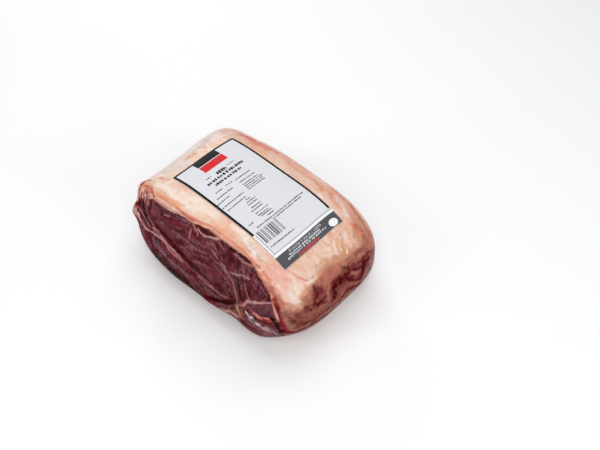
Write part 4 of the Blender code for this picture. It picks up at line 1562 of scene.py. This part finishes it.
@dataclass(frozen=True)
class MeatPaint:
    """Where the fat ends, and the colours, streaks and patches of the fat and the lean, with the film's
    painted sheen, highlights and haze and painted shade. Millimetres.
    """

    fat_strokes: tuple[Stroke, ...] = read_strokes(FAT_AREAS)
    lean_strokes: tuple[Stroke, ...] = read_strokes(LEAN_AREAS)
    # The noises that break the first stroke over everything and the first on the lean; the rest follow.
    first_fat_seed: int = 100
    first_lean_seed: int = 400
    # Green and blue light together, from where a colour counts as wholly pale.
    pale_limit: float = 0.5

    # The fat cap's lower edge on the lean face, read off the photograph from its far end to its near end.
    fat_edge: Pixels = (
        (134, 204), (139, 200), (145, 198.5), (150, 198.5), (154, 199), (158, 202), (162, 205.5),
        (166, 208.5), (170, 211), (175, 213), (180, 215), (185, 217.5), (190, 221), (194, 223.5),
        (200, 225.5), (205, 227.5), (210, 230.5), (215, 234.5), (220, 238.5), (225, 242), (230, 245.5),
        (235, 248.5), (240, 252.5), (245, 256.5), (250, 260.5), (253.5, 264.5), (257, 271), (260, 277),
        (263, 282.5), (266.5, 287.5), (269.5, 292), (271.5, 297), (272.5, 303), (273.5, 309), (275, 315),
        (278, 321), (281, 327), (284, 332),
    )
    # Where that edge comes from, round the far end, in millimetres from the block's own axis.
    far_turn: tuple[float, float, float] = (-106.0, -34.0, 75.0)
    # On the other sides it ends at a height, and the near end is fat all the way down.
    fat_ends: tuple[FatEnd, ...] = (
        FatEnd(Face.LEAN, 95.0),
        FatEnd(Face.NEAR, -30.0),
        FatEnd(Face.BACK, 58.0, 7.0, 26.0, 5),
        FatEnd(Face.FAR, 76.0, 6.0, 22.0, 6),
    )
    least_weight: float = 1e-9
    fat_end_blend: float = 1.4
    fat_end_grains: Grains = ((0.6, 7.0, 7), (0.5, 3.0, 8))
    # How far the skin's way up tells the top from the sides, and the sides from what turns under.
    top_tilt: float = 0.93
    undercut: float = -0.6
    undercut_blend: float = 0.3
    front: Zone = Zone(Axis.Y, -44.0, -12.0)
    # Round the near end: where the cream fat turns tan, and where the tan turns brown.
    end_across: tuple[float, ...] = (-76, -65, -58, -52, -48, -42, -35, -28, -18, -5, 10, 22, 30, 38, 50, 62)
    cream_height: tuple[float, ...] = (48, 56, 59, 62, 67, 71, 73, 75, 78, 76, 74, 72, 73, 79, 83, 84)
    tan_height: tuple[float, ...] = (44, 51, 56, 59, 62, 65, 69, 67, 62, 65, 65, 62, 60, 58, 53, 48)
    near_end_grains: Grains = ((3.0, 10.0, 26), (1.6, 3.5, 30))

    # Zones of the fat: the shoulder by the ear, where the film's sheen is painted in white, the back with its
    # rim, and the near end with its flecks.
    far_shoulder: tuple[Zone, ...] = (
        Zone(Axis.X, -56.0, -14.0, 6.0, 14.0, 36),
        Zone(Axis.Z, 78.0, 10.0),
        Zone(Axis.Y, -50.0, 14.0),
    )
    back: Zone = Zone(Axis.Y, 36.0, 12.0, 6.0, 13.0, 24)
    back_rim: Zone = Zone(Axis.Y, 53.0, 9.0, 7.0, 11.0, 29)
    near_end: Zone = Zone(Axis.X, 78.0, 14.0)
    flecked: Zone = Zone(Axis.Y, -14.0, 14.0)
    lean_rim: float = 3.5

    # The lean: its strands, which rise a little to the near end, and streaks and wrinkles along the pull.
    pull: Pull = Pull()
    gathered: Zone = Zone(Axis.X, 4.0, 30.0)
    band: Drawn = Drawn(0.17, 1.6, 31)
    fibre: Drawn = Drawn(0.06, 0.5, 32)
    strand_rise: float = 25.0
    strand_depth: float = 20.0
    strand: Drawn = Drawn(1.7, 9.0, 41)
    strand_line: Drawn = Drawn(2.6, 14.0, 43)

    def fat_share(self, skin: Skin, over: Array) -> Array:
        """Find how much of each point is fat.

        Args:
            skin: The points.
            over: How far over the fat's edge on the lean face each point lies.

        Returns:
            The share of fat, from 0 to 1.
        """
        level = np.zeros(len(over))
        total = np.full(len(over), self.least_weight)
        for end in self.fat_ends:
            weight = np.clip(skin.normals @ np.array(end.face.value[1]), 0.0, None) ** 3
            level += weight * end.level(skin.points)
            total += weight
        rough = roughen(skin.points, self.fat_end_grains)
        # On the lean face the traced edge takes over, but not where the skin turns under.
        turned = skin.normals[:, 2]
        front = self.front.share(skin) * smooth_step((turned - self.undercut) / self.undercut_blend)
        depth = skin.points[:, 2] - level / total
        depth += (over - depth) * front
        upward = (turned > self.top_tilt) & (front < 0.5)
        return np.where(upward, 1.0, smooth_step((depth + rough) / self.fat_end_blend + 0.5))

    def strands(self, skin: Skin, drawn: Drawn) -> Array:
        """Draw noise out along the strands of the upper lean.

        Args:
            skin: The points.
            drawn: How wide and long its grains are.

        Returns:
            The noise, about -1 to 1.
        """
        x, y, z = skin.points.T
        rise = math.radians(self.strand_rise)
        across = z * math.cos(rise) - x * math.sin(rise) + 3.0 * grain(skin.points, 30.0, drawn.seed + 1)
        along = x * math.cos(rise) + z * math.sin(rise)
        places = np.stack([along / drawn.length, y / self.strand_depth, across / drawn.width], axis=1)
        return grain(places, 1.0, drawn.seed)

    def strand_lines(self, skin: Skin, drawn: Drawn) -> Array:
        """Return thin pale lines along the strands, 0 to 1, in patches."""
        lines = 1.0 - np.clip(np.abs(self.strands(skin, drawn)) * self.pull.sharpness, 0.0, 1.0)
        return lines * smooth_step(grain(skin.points, 12.0, drawn.seed + 2) * 1.6 + 0.2)

    def lean(self, skin: Skin) -> Paint:
        """Paint the lean: fibres and blood, the film's haze over it as painted reflection, and its wrinkles
        as painted highlights.

        Args:
            skin: The points.

        Returns:
            The painted lean.
        """
        paint = Paint(skin, Tone.LEAN_MAROON)
        paint.mottle(Tone.LEAN_DEEP, 0.8, size=12.0, seed=11, cover=0.3)
        paint.mottle(Tone.LEAN_BRIGHT, 0.7, size=6.0, seed=12, contrast=1.8)
        # Grey patches: the film's haze over the lean, a painted reflection.
        paint.mottle(Tone.FILM_GREY, 0.45, size=9.0, seed=15)

        # The cut face by the gathered column: broad bands and fine fibres, drawn to the column.
        face = skin.facing(Face.LEAN)
        gathered = self.gathered.share(skin) * face
        bands = self.pull.streaks(skin, self.band)
        paint.show(Tone.LEAN_DEEP, 0.65, bands, contrast=2.0, share=gathered)
        paint.show(Tone.FILM_GREY, 0.5, -bands, contrast=2.0, share=gathered)
        fibres = self.pull.streaks(skin, self.fibre)
        fibrous = 0.12 * face + 0.6 * gathered
        paint.show(Tone.LEAN_BLOOD, 1.0, fibres, contrast=2.0, share=fibrous)
        paint.show(Tone.FILM_MAUVE, 0.55, -fibres, contrast=2.2, cover=-0.1, share=fibrous)

        # The rest of the cut face: strands of muscle.
        strands = self.strands(skin, self.strand)
        open_face = face - gathered
        paint.show(Tone.LEAN_BLOOD, 0.55, strands, contrast=2.2, share=open_face)
        paint.show(Tone.FILM_MAUVE, 0.5, -strands, contrast=2.4, cover=-0.2, share=open_face)
        paint.wash(Tone.FILM_DUSK, 0.45 * open_face * self.strand_lines(skin, self.strand_line))

        # The film's wrinkles over all of it, painted as pale highlights.
        wrinkled = 0.3 * face + 0.7 * gathered
        paint.wash(Tone.FILM_MAUVE, 0.5 * self.pull.wrinkles(skin, self.pull.broad_wrinkle) * wrinkled)
        paint.wash(Tone.FILM_PINK, 0.4 * self.pull.wrinkles(skin, self.pull.fine_wrinkle) * wrinkled)

        # The sides away from the cut: stretched patches of blood and of the film's painted haze, and a little
        # silverskin in broken lines.
        away = 1.0 - face
        paint.mottle(Tone.FILM_GREY, 0.5, size=(24.0, 24.0, 4.0), seed=13, share=away)
        paint.mottle(Tone.LEAN_BLOOD, 0.5, size=(20.0, 20.0, 5.0), seed=16, share=away)
        silverskin = ridges(skin.points, (40.0, 40.0, 11.0), 14)
        silverskin *= smooth_step(grain(skin.points, 20.0, 17) * 2.0 + 0.3)
        paint.show(Tone.FILM_ROSE, 0.55, silverskin, contrast=1.8, cover=-0.9, share=away)
        return paint

    def fat(self, skin: Skin, over: Array) -> Paint:
        """Paint the fat cap: long pale and peach streaks, salmon by the rims, tan round the near end, and
        painted sheen in white over the far shoulder.

        Args:
            skin: The points.
            over: How far over the fat's edge on the lean face each point lies.

        Returns:
            The painted fat.
        """
        paint = Paint(skin, Tone.FAT_CREAM)
        paint.mottle(Tone.FAT_PEACH, 1.0, size=(36.0, 14.0, 20.0), seed=21, contrast=1.5, cover=0.3)
        paint.mottle(Tone.FAT_IVORY, 0.8, size=(26.0, 6.5, 9.0), seed=22, contrast=1.3, cover=0.2)
        paint.mottle(Tone.FAT_PINK, 0.5, size=(22.0, 5.0, 7.0), seed=23, contrast=1.3)
        paint.mottle(Tone.FAT_ORANGE, 0.4, size=(17.0, 3.8, 5.5), seed=28, contrast=1.4, cover=-0.1)
        # Over the shoulder by the ear, white patches are the film's sheen, painted.
        shoulder = math.prod(zone.share(skin) for zone in self.far_shoulder)
        paint.mottle(Tone.FILM_WHITE, 0.8, (8.0, 13.0, 8.0), seed=37, contrast=1.3, cover=0.6, share=shoulder)

        # The back, with its salmon rim over the edge.
        back = self.back.share(skin)
        paint.wash(Tone.FAT_ORANGE, 0.7 * back)
        paint.mottle(Tone.FAT_SALMON, 0.6, size=(14.0, 4.0, 6.0), seed=38, contrast=1.8, share=back)
        paint.wash(Tone.FAT_SALMON, 0.9 * self.back_rim.share(skin))
        rear = skin.facing(Face.BACK, 3.0)
        paint.mottle(Tone.FAT_CREAM, 0.7, size=(34.0, 9.0, 8.0), seed=39, contrast=1.8, cover=0.1, share=rear)
        paint.mottle(Tone.FAT_PINK, 0.6, size=(15.0, 6.0, 4.0), seed=44, contrast=1.8, share=rear)

        # The rim over the lean face.
        rim = np.clip(1.0 - over / self.lean_rim, 0.0, 1.0)
        paint.wash(Tone.FAT_SALMON, 0.7 * rim * skin.facing(Face.LEAN, 3.0))
        self.paint_near_end(paint)
        return paint

    def paint_near_end(self, paint: Paint) -> None:
        """Turn the fat tan and then brown down the near end, with orange flecks where it starts.

        Args:
            paint: The fat's paint, which is painted on.
        """
        points = paint.skin.points
        end = self.near_end.share(paint.skin)
        paint.wash(Tone.FAT_PINK, 0.2 * end)
        flecked = self.flecked.share(paint.skin) * end
        paint.mottle(Tone.FAT_ORANGE, 0.55, size=(2.6, 5.0, 2.6), seed=25, cover=-0.1, share=flecked)
        rough = roughen(points, self.near_end_grains)
        cream = np.interp(points[:, 1], self.end_across, self.cream_height)
        tan = np.interp(points[:, 1], self.end_across, self.tan_height)
        low = end
        for tone, strength, height, blend in (
            (Tone.FAT_TAN, 0.95, cream, 4.0),
            (Tone.SKIN_ROSE, 0.9, 0.45 * cream + 0.55 * tan, 8.0),
            (Tone.SKIN_BROWN, 0.95, tan, 5.0),
        ):
            low = smooth_step((height - points[:, 2] + rough) / blend + 0.5) * end
            paint.wash(tone, strength * low)
        paint.mottle(Tone.BLOOD_RUST, 0.6, size=5.0, seed=27, contrast=1.8, share=low)
        paint.mottle(Tone.SKIN_SAND, 0.35, size=6.0, seed=34, contrast=1.8, cover=-0.3, share=low)

    def apply(self, skin: Skin, tracing: Tracing) -> Array:
        """Paint the meat.

        Args:
            skin: The meat's points.
            tracing: Finds the places that the photograph shows.

        Returns:
            The colours, with how pale each point is as alpha.
        """
        over = skin.over(np.vstack([self.far_turn, tracing.route(self.fat_edge)]))
        share = self.fat_share(skin, over)
        paint = self.lean(skin)
        paint.colour += (self.fat(skin, over).colour - paint.colour) * share[:, None]
        for number, stroke in enumerate(self.fat_strokes):
            seed = self.first_fat_seed + number
            paint.stroke(stroke, tracing.route(stroke.route), seed, np.ones(len(share)))
        for number, stroke in enumerate(self.lean_strokes):
            seed = self.first_lean_seed + number
            paint.stroke(stroke, tracing.route(stroke.route), seed, 1.0 - share)
        pale = np.clip((paint.colour[:, 1] + paint.colour[:, 2]) / self.pale_limit, 0.0, 1.0)
        return np.concatenate([paint.colour, pale[:, None]], axis=1)


# --------------------------------------------------------------------------------------------------
# The sealed pack: meat and film
# --------------------------------------------------------------------------------------------------


@dataclass
class SealedPack:
    """The block of beef and the film drawn tight over it."""

    form: BlockForm
    grid: SkinGrid
    folds: FilmFolds
    paint: MeatPaint
    view: PhotoView
    # Both pieces, and the move from the block's own axis to the frame's, which building sets.
    meat: bpy.types.Object = field(init=False)
    film: bpy.types.Object = field(init=False)
    shift: Array = field(init=False)
    film_gap: float = 0.45
    fold_gap: float = 0.6
    crinkle_height: float = 0.45
    fine_crinkle: float = 0.6
    # Milky film: over the shoulder by the ear, where the white is a painted sheen, and low round the near
    # end.
    shoulder_zones: tuple[Zone, ...] = (Zone(Axis.X, -60.0, -18.0), Zone(Axis.Y, -52.0, 14.0))
    shoulder_haze: float = 0.32
    low_zone: Zone = Zone(Axis.Z, 30.0, -10.0)
    low_haze: float = 0.16
    most_haze: float = 0.85

    def build(self) -> None:
        """Model the meat and the film over it, and dress both."""
        skin, push = self.model_block()
        outside = skin.points + skin.normals * push[:, None]
        outside[:, 2] = np.maximum(outside[:, 2], 0.0)
        self.shift = self.set_over_origin(outside)
        self.film = self.copy_block("clear_film_bag")
        write_points(self.film, (outside + self.shift) * MM)

        stand_off = self.film_gap + self.fold_gap * np.clip(push, 0.0, None)
        inside = outside - skin.normals * stand_off[:, None]
        inside[:, 2] = np.maximum(inside[:, 2], self.film_gap)
        write_points(self.meat, (inside + self.shift) * MM)
        surface = BVHTree.FromObject(self.meat, bpy.context.evaluated_depsgraph_get())
        tracing = Tracing(self.view, surface, self.shift)
        write_colours(self.meat, "paint", self.paint.apply(Skin(inside, skin.normals), tracing))
        write_colours(self.film, "tint", self.film_tint(skin))
        for piece, finish in ((self.meat, MeatUnderFilm()), (self.film, ClearFilm())):
            piece.data.shade_smooth()
            piece.data.materials.clear()
            piece.data.materials.append(finish.make())
            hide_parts("sealed_pack")
            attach(piece, "root")

    def model_block(self) -> tuple[Skin, Array]:
        """Model the block without its film.

        Returns:
            The block's skin, and how far out the film's folds and crinkles push it at each point.
        """
        self.meat = self.grid.model("sirloin_meat")
        write_points(self.meat, self.form.surface(read_vertices(self.meat, "co")))
        plain = Skin(read_vertices(self.meat, "co"), read_vertices(self.meat, "normal"))
        settled = self.form.settle(plain)
        write_points(self.meat, settled)
        skin = Skin(settled, read_vertices(self.meat, "normal"))
        pull = self.paint.pull
        crinkle = pull.wrinkles(skin, pull.broad_wrinkle)
        crinkle += self.fine_crinkle * pull.wrinkles(skin, pull.fine_wrinkle)
        return skin, self.folds.relief(skin) + self.crinkle_height * crinkle * skin.facing(Face.LEAN)

    def copy_block(self, name: str) -> bpy.types.Object:
        """Copy the block, with its own mesh.

        Args:
            name: The copy's name.

        Returns:
            The copy.
        """
        bpy.ops.object.select_all(action="DESELECT")
        self.meat.select_set(True)
        bpy.context.view_layer.objects.active = self.meat
        bpy.ops.object.duplicate()
        bpy.context.object.name = name
        return bpy.context.object

    def film_tint(self, skin: Skin) -> Array:
        """Colour the film.

        Args:
            skin: The film's points.

        Returns:
            Its colour at each, with how milky it is as alpha.
        """
        # Over the shoulder by the ear, the white is a painted sheen of light on the film; in the folds and
        # low round the near end it is the film's milkiness.
        shoulder = math.prod(zone.share(skin) for zone in self.shoulder_zones) * skin.facing(Face.TOP, 1.6)
        cloud = smooth_step(grain(skin.points, (12.0, 18.0, 12.0), 42) + 0.55)
        haze = self.folds.haze(skin) + self.shoulder_haze * shoulder * cloud
        haze += self.low_haze * self.low_zone.share(skin) * skin.facing(Face.NEAR, 1.4)
        tone = np.tile(np.array(linear(Tone.FILM_WHITE.value)), (len(haze), 1))
        return np.concatenate([tone, np.clip(haze, 0.0, self.most_haze)[:, None]], axis=1)

    @staticmethod
    def set_over_origin(points: Array) -> Array:
        """Find the move that lays the pack into its box.

        Args:
            points: The pack's points, in millimetres.

        Returns:
            The move, in millimetres.
        """
        low, high = (np.array(corner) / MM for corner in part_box("sealed_pack"))
        middle = (points.min(axis=0) + points.max(axis=0)) / 2.0
        move = (low + high) / 2.0 - middle
        move[2] = 0.0
        return move


# --------------------------------------------------------------------------------------------------
# The label
# --------------------------------------------------------------------------------------------------


@dataclass(frozen=True)
class Mark:
    """A printed rectangle on the label: its start, its size and its ink. Millimetres.

    s runs down the label from its head, and t across it from the lean face's side.
    """

    s: float
    t: float
    long: float
    wide: float
    ink: Tone


@dataclass(frozen=True)
class DashRow:
    """A row of uneven dashes across the label, where the real one has a line of print. Millimetres."""

    s: float
    start: float
    end: float
    tall: float = 1.3
    ink: Tone = Tone.INK_DARK_GREY
    dash: float = 1.6
    gap: float = 0.4
    least_dash: float = 0.3

    def marks(self, dice: np.random.Generator) -> list[Mark]:
        """Lay the row.

        Args:
            dice: The seeded source of the dashes' lengths and gaps.

        Returns:
            The dashes.
        """
        marks = []
        t = self.start
        while t < self.end:
            wide = min(self.dash * float(dice.uniform(0.6, 1.5)), self.end - t)
            lower = self.tall * float(dice.uniform(0.75, 1.0))
            marks.append(Mark(self.s + (self.tall - lower), t, lower, max(wide, self.least_dash), self.ink))
            t += wide + self.gap * float(dice.choice((0.7, 1.0, 1.0, 2.4)))
        return marks


@dataclass
class PaperLabel:
    """The label on the film, and the plain bars and dashes that stand for its print. Millimetres."""

    pack: SealedPack
    top: BVHTree = field(init=False)
    length: float = 143.0
    width: float = 78.0
    middle: tuple[float, float] = (14.5, -6.0)
    lift: float = 0.25
    thickness: float = 0.18
    ink_lift: float = 0.05
    cell: float = 2.0
    border: float = 2.4
    border_ends: tuple[float, float] = (104.0, 127.0)
    foot_start: float = 131.5
    disc_middle: tuple[float, float] = (139.1, 69.0)
    disc_half_sizes: tuple[float, float] = (3.4, 5.4)
    disc_corners: int = 36
    seed: int = 14

    head_blocks: tuple[Mark, ...] = (
        Mark(0.0, 23.0, 10.5, 29.0, Tone.INK_BLACK),
        Mark(11.5, 23.0, 9.5, 29.0, Tone.INK_RED),
    )
    head_rows: tuple[DashRow, ...] = (
        DashRow(27.0, 29.0, 41.0, 4.2, Tone.INK_SOFT_BLACK, 1.8, 0.6),
        DashRow(32.6, 13.0, 58.0, 3.2, Tone.INK_SOFT_BLACK, 1.8, 0.6),
        DashRow(38.0, 18.0, 51.0, 3.0, Tone.INK_SOFT_BLACK, 1.8, 0.6),
    )
    # How far down each thin row is, where it starts and where it ends.
    thin_rows: tuple[tuple[float, float, float], ...] = (
        (27.5, 17, 23), (27.5, 44, 53), (46, 11, 19), (46, 24, 32), (47, 35, 55), (52, 7, 27), (52, 36, 55),
        (56, 36, 56), (57, 2, 18), (58.5, 36, 59), (61, 36, 57), (63, 3, 30), (63.5, 36, 58), (68, 5, 28),
        (71, 25, 30), (74, 23, 34), (77, 22, 34), (81, 22, 34), (84, 19, 33), (88, 20, 36), (91, 20, 33),
        (93, 6, 12), (93, 22, 35), (96, 27, 35), (99.5, 10, 70), (102, 28, 65), (121, 5, 35),
    )
    foot_rows: tuple[DashRow, ...] = (
        DashRow(132.6, 15, 57, 1.8, Tone.INK_PALE_GREY, 1.6, 0.7),
        DashRow(135.1, 13, 53, 1.8, Tone.INK_PALE_GREY, 1.6, 0.7),
        DashRow(137.5, 9, 59, 1.8, Tone.INK_PALE_GREY, 1.6, 0.7),
        DashRow(139.9, 20, 47, 2.2, Tone.INK_BRIGHT_RED, 2.6, 0.3),
    )
    # The bar code: how far down it is and how tall, where it starts and ends, its bars and their gaps.
    bars_down: tuple[float, float] = (103.5, 13.5)
    bars_across: tuple[float, float] = (5.0, 29.0)
    bar_widths: tuple[float, ...] = (0.4, 0.7, 1.2)
    bar_gaps: tuple[float, ...] = (0.5, 0.9, 1.8)

    def build(self) -> None:
        """Model the sheet and its print."""
        self.top = BVHTree.FromObject(self.pack.film, bpy.context.evaluated_depsgraph_get())
        sheet = self.sheet()
        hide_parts("label")
        self.finish(sheet)
        sheet.data.materials.append(LabelStock("coated_label_paper", Tone.PAPER).make())
        inks: dict[Tone, list[Mark]] = {}
        for mark in self.marks():
            inks.setdefault(mark.ink, []).append(mark)
        for ink, marks in inks.items():
            piece = self.printed(f"label_print_{ink.name.lower()}", marks)
            piece.data.materials.append(LabelStock(f"label_ink_{ink.name.lower()}", ink).make())
            self.finish(piece)
        disc = self.disc()
        disc.data.materials.append(LabelStock("label_ink_disc_white", Tone.PAPER_WHITE).make())
        self.finish(disc)

    def finish(self, piece: bpy.types.Object) -> None:
        """Name the body that a piece moves with."""
        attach(piece, "root")

    def place(self, s: float, t: float, lift: float) -> Vector:
        """Find where a place on the label lies over the pack.

        Args:
            s: How far down the label from its head.
            t: How far across it from the lean face's side.
            lift: How far off the film.

        Returns:
            The place, in metres.
        """
        x = (self.middle[0] - self.length / 2.0 + s + self.pack.shift[0]) * MM
        y = (self.middle[1] - self.width / 2.0 + t + self.pack.shift[1]) * MM
        above = Vector((x, y, 2.0 * self.pack.form.height * MM))
        hit = self.top.ray_cast(above, Vector((0.0, 0.0, -1.0)))[0]
        return hit + Vector((0.0, 0.0, lift * MM))

    def sheet(self) -> bpy.types.Object:
        """Model the paper as a grid laid on the pack, with its thickness.

        Returns:
            The piece.
        """
        across = round(self.width / self.cell)
        down = round(self.length / self.cell)
        bpy.ops.object.select_all(action="DESELECT")
        bpy.ops.mesh.primitive_grid_add(x_subdivisions=down, y_subdivisions=across, size=1.0)
        piece = bpy.context.object
        piece.name = "paper_label"
        laid = [
            self.place((s + 0.5) * self.length, (t + 0.5) * self.width, self.lift)
            for s, t, _ in read_vertices(piece, "co")
        ]
        write_points(piece, np.array(laid))
        paper = piece.modifiers.new("paper", "SOLIDIFY")
        paper.thickness = self.thickness * MM
        paper.offset = 1.0
        bpy.ops.object.modifier_apply(modifier="paper")
        piece.data.shade_smooth()
        piece.data.set_sharp_from_angle(angle=math.radians(40.0))
        return piece

    def printed(self, name: str, marks: list[Mark]) -> bpy.types.Object:
        """Model the marks of one ink as strips that follow the sheet.

        Args:
            name: The piece's name.
            marks: The rectangles.

        Returns:
            The piece.
        """
        lift = self.lift + self.thickness + self.ink_lift
        bm = bmesh.new()
        for mark in marks:
            rows = max(1, math.ceil(mark.long / self.cell))
            columns = max(1, math.ceil(mark.wide / self.cell))
            grid = []
            for row in range(rows + 1):
                s = mark.s + mark.long * row / rows
                across = [mark.t + mark.wide * column / columns for column in range(columns + 1)]
                grid.append([bm.verts.new(self.place(s, t, lift)) for t in across])
            for first, second in zip(grid[:-1], grid[1:]):
                for k in range(columns):
                    bm.faces.new((first[k], second[k], second[k + 1], first[k + 1]))
        mesh = bpy.data.meshes.new(name)
        bm.to_mesh(mesh)
        bm.free()
        piece = bpy.data.objects.new(name, mesh)
        bpy.context.collection.objects.link(piece)
        return piece

    def disc(self) -> bpy.types.Object:
        """Model the plain disc in the foot band.

        Returns:
            The piece.
        """
        lift = self.lift + self.thickness + 3.0 * self.ink_lift
        bpy.ops.object.select_all(action="DESELECT")
        bpy.ops.mesh.primitive_circle_add(vertices=self.disc_corners, radius=1.0, fill_type="TRIFAN")
        piece = bpy.context.object
        piece.name = "label_plain_disc"
        bpy.ops.object.mode_set(mode="EDIT")
        bpy.ops.mesh.select_all(action="SELECT")
        bpy.ops.mesh.subdivide(number_cuts=3)
        bpy.ops.object.mode_set(mode="OBJECT")
        flat = read_vertices(piece, "co")[:, :2] * self.disc_half_sizes + self.disc_middle
        write_points(piece, np.array([self.place(s, t, lift) for s, t in flat]))
        return piece

    def marks(self) -> list[Mark]:
        """Lay out the border, the head's blocks, the rows of dashes, the bars and the foot band.

        Returns:
            The marks.
        """
        dice = np.random.default_rng(self.seed)
        marks = [
            Mark(0.0, 0.0, self.border, self.width, Tone.INK_BLACK),
            Mark(0.0, 0.0, self.border_ends[0], self.border, Tone.INK_BLACK),
            Mark(0.0, self.width - self.border, self.border_ends[1], self.border, Tone.INK_BLACK),
            *self.head_blocks,
            Mark(self.foot_start, 0.0, self.length - self.foot_start, self.width, Tone.INK_DARK_GREY),
        ]
        for row in (*self.head_rows, *(DashRow(*thin) for thin in self.thin_rows)):
            marks += row.marks(dice)
        t, end = self.bars_across
        while t < end:
            bar = float(dice.choice(self.bar_widths))
            marks.append(Mark(self.bars_down[0], t, self.bars_down[1], bar, Tone.INK_BLACK))
            t += bar + float(dice.choice(self.bar_gaps))
        for row in self.foot_rows:
            marks += row.marks(dice)
        # The pale edge by the foot and along the lean face's side, each with a fine grey line in it.
        marks.append(Mark(128.2, 0.0, 0.5, self.width, Tone.INK_GREY))
        marks.append(Mark(129.0, 0.0, 2.3, self.width, Tone.PAPER_WHITE))
        marks.append(Mark(106.0, 0.0, 23.0, 1.6, Tone.PAPER_WHITE))
        marks.append(Mark(106.0, 2.2, 22.0, 0.5, Tone.INK_GREY))
        return marks


# --------------------------------------------------------------------------------------------------
# The studio
# --------------------------------------------------------------------------------------------------


@dataclass(frozen=True)
class SoftBox:
    """A square studio light: where it stands, how large it is and how bright."""

    name: str
    place: tuple[float, float, float]
    size: float
    watts: float
    colour: str = "#FFFFFF"


@dataclass(frozen=True)
class Studio:
    """Pale floor, soft lights and a camera at the photograph's angle. Metres."""

    view: PhotoView
    floor_size: float = 12.0
    surrounding: str = "#F4F5F7"
    surrounding_strength: float = 0.22
    lit_place: tuple[float, float, float] = (0.0, 0.0, 0.05)
    soft_boxes: tuple[SoftBox, ...] = (
        SoftBox("overhead", (-0.25, 0.35, 1.25), 1.1, 7.5),
        SoftBox("camera_side", (0.60, -0.60, 1.10), 0.8, 6.5),
        SoftBox("back_left", (-1.0, 0.55, 0.45), 0.45, 2.2),
        SoftBox("front_left", (-0.5, -1.1, 0.9), 0.45, 2.2),
        SoftBox("right", (1.3, 0.1, 0.7), 0.35, 2.5),
        SoftBox("glint_lean", (-0.50, -0.90, 0.16), 0.12, 0.9),
        SoftBox("glint_end", (0.95, 0.65, 0.18), 0.12, 0.7),
    )

    def build(self) -> None:
        """Set the floor, the world, the lights and the camera."""
        self.floor()
        self.light()
        self.camera()
        bpy.context.scene.view_settings.view_transform = "Standard"

    def floor(self) -> None:
        """Lay a plain pale floor."""
        bpy.ops.object.select_all(action="DESELECT")
        bpy.ops.mesh.primitive_plane_add(size=self.floor_size)
        floor = bpy.context.object
        floor.name = "studio_floor"
        material, _, _ = new_material(
            "matt_white_sweep",
            {
                "Base Color": (0.93, 0.93, 0.93, 1.0),
                "Roughness": 0.9,
                "Specular IOR Level": 0.0,
                "Emission Color": (1.0, 1.0, 1.0, 1.0),
                "Emission Strength": 0.12,
            },
        )
        floor.data.materials.append(material)

    def light(self) -> None:
        """Hang the soft boxes and set a dim surrounding."""
        world = bpy.data.worlds.new("studio")
        bpy.context.scene.world = world
        world.use_nodes = True
        backdrop = world.node_tree.nodes["Background"]
        backdrop.inputs["Color"].default_value = (*linear(self.surrounding), 1.0)
        backdrop.inputs["Strength"].default_value = self.surrounding_strength
        for box in self.soft_boxes:
            lamp = bpy.data.lights.new(box.name, "AREA")
            lamp.size = box.size
            lamp.energy = box.watts
            lamp.color = linear(box.colour)
            holder = bpy.data.objects.new(box.name, lamp)
            bpy.context.collection.objects.link(holder)
            holder.location = box.place
            aim = Vector(self.lit_place) - Vector(box.place)
            holder.rotation_euler = aim.to_track_quat("-Z", "Y").to_euler()

    def camera(self) -> None:
        """Place the camera."""
        lens = bpy.data.cameras.new("camera")
        lens.lens = self.view.lens
        lens.sensor_width = self.view.sensor
        camera = bpy.data.objects.new("camera", lens)
        bpy.context.collection.objects.link(camera)
        camera.location = self.view.stand()
        camera.rotation_euler = self.view.turned().to_euler()
        bpy.context.scene.camera = camera


def write_size() -> None:
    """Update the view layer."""
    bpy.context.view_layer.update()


def main() -> None:
    """Build the pack, its label and the studio."""
    logging.basicConfig(level=logging.INFO, format="%(message)s")
    view = PhotoView()
    pack = SealedPack(BlockForm(), SkinGrid(), FilmFolds(), MeatPaint(), view)
    pack.build()
    LOG.info("meat: %d faces, film: %d faces", len(pack.meat.data.polygons), len(pack.film.data.polygons))
    PaperLabel(pack).build()
    LOG.info("label laid on the film; block's axis stands at %s mm", pack.shift)
    Studio(view).build()
    write_size()


if __name__ == "__main__":
    main()
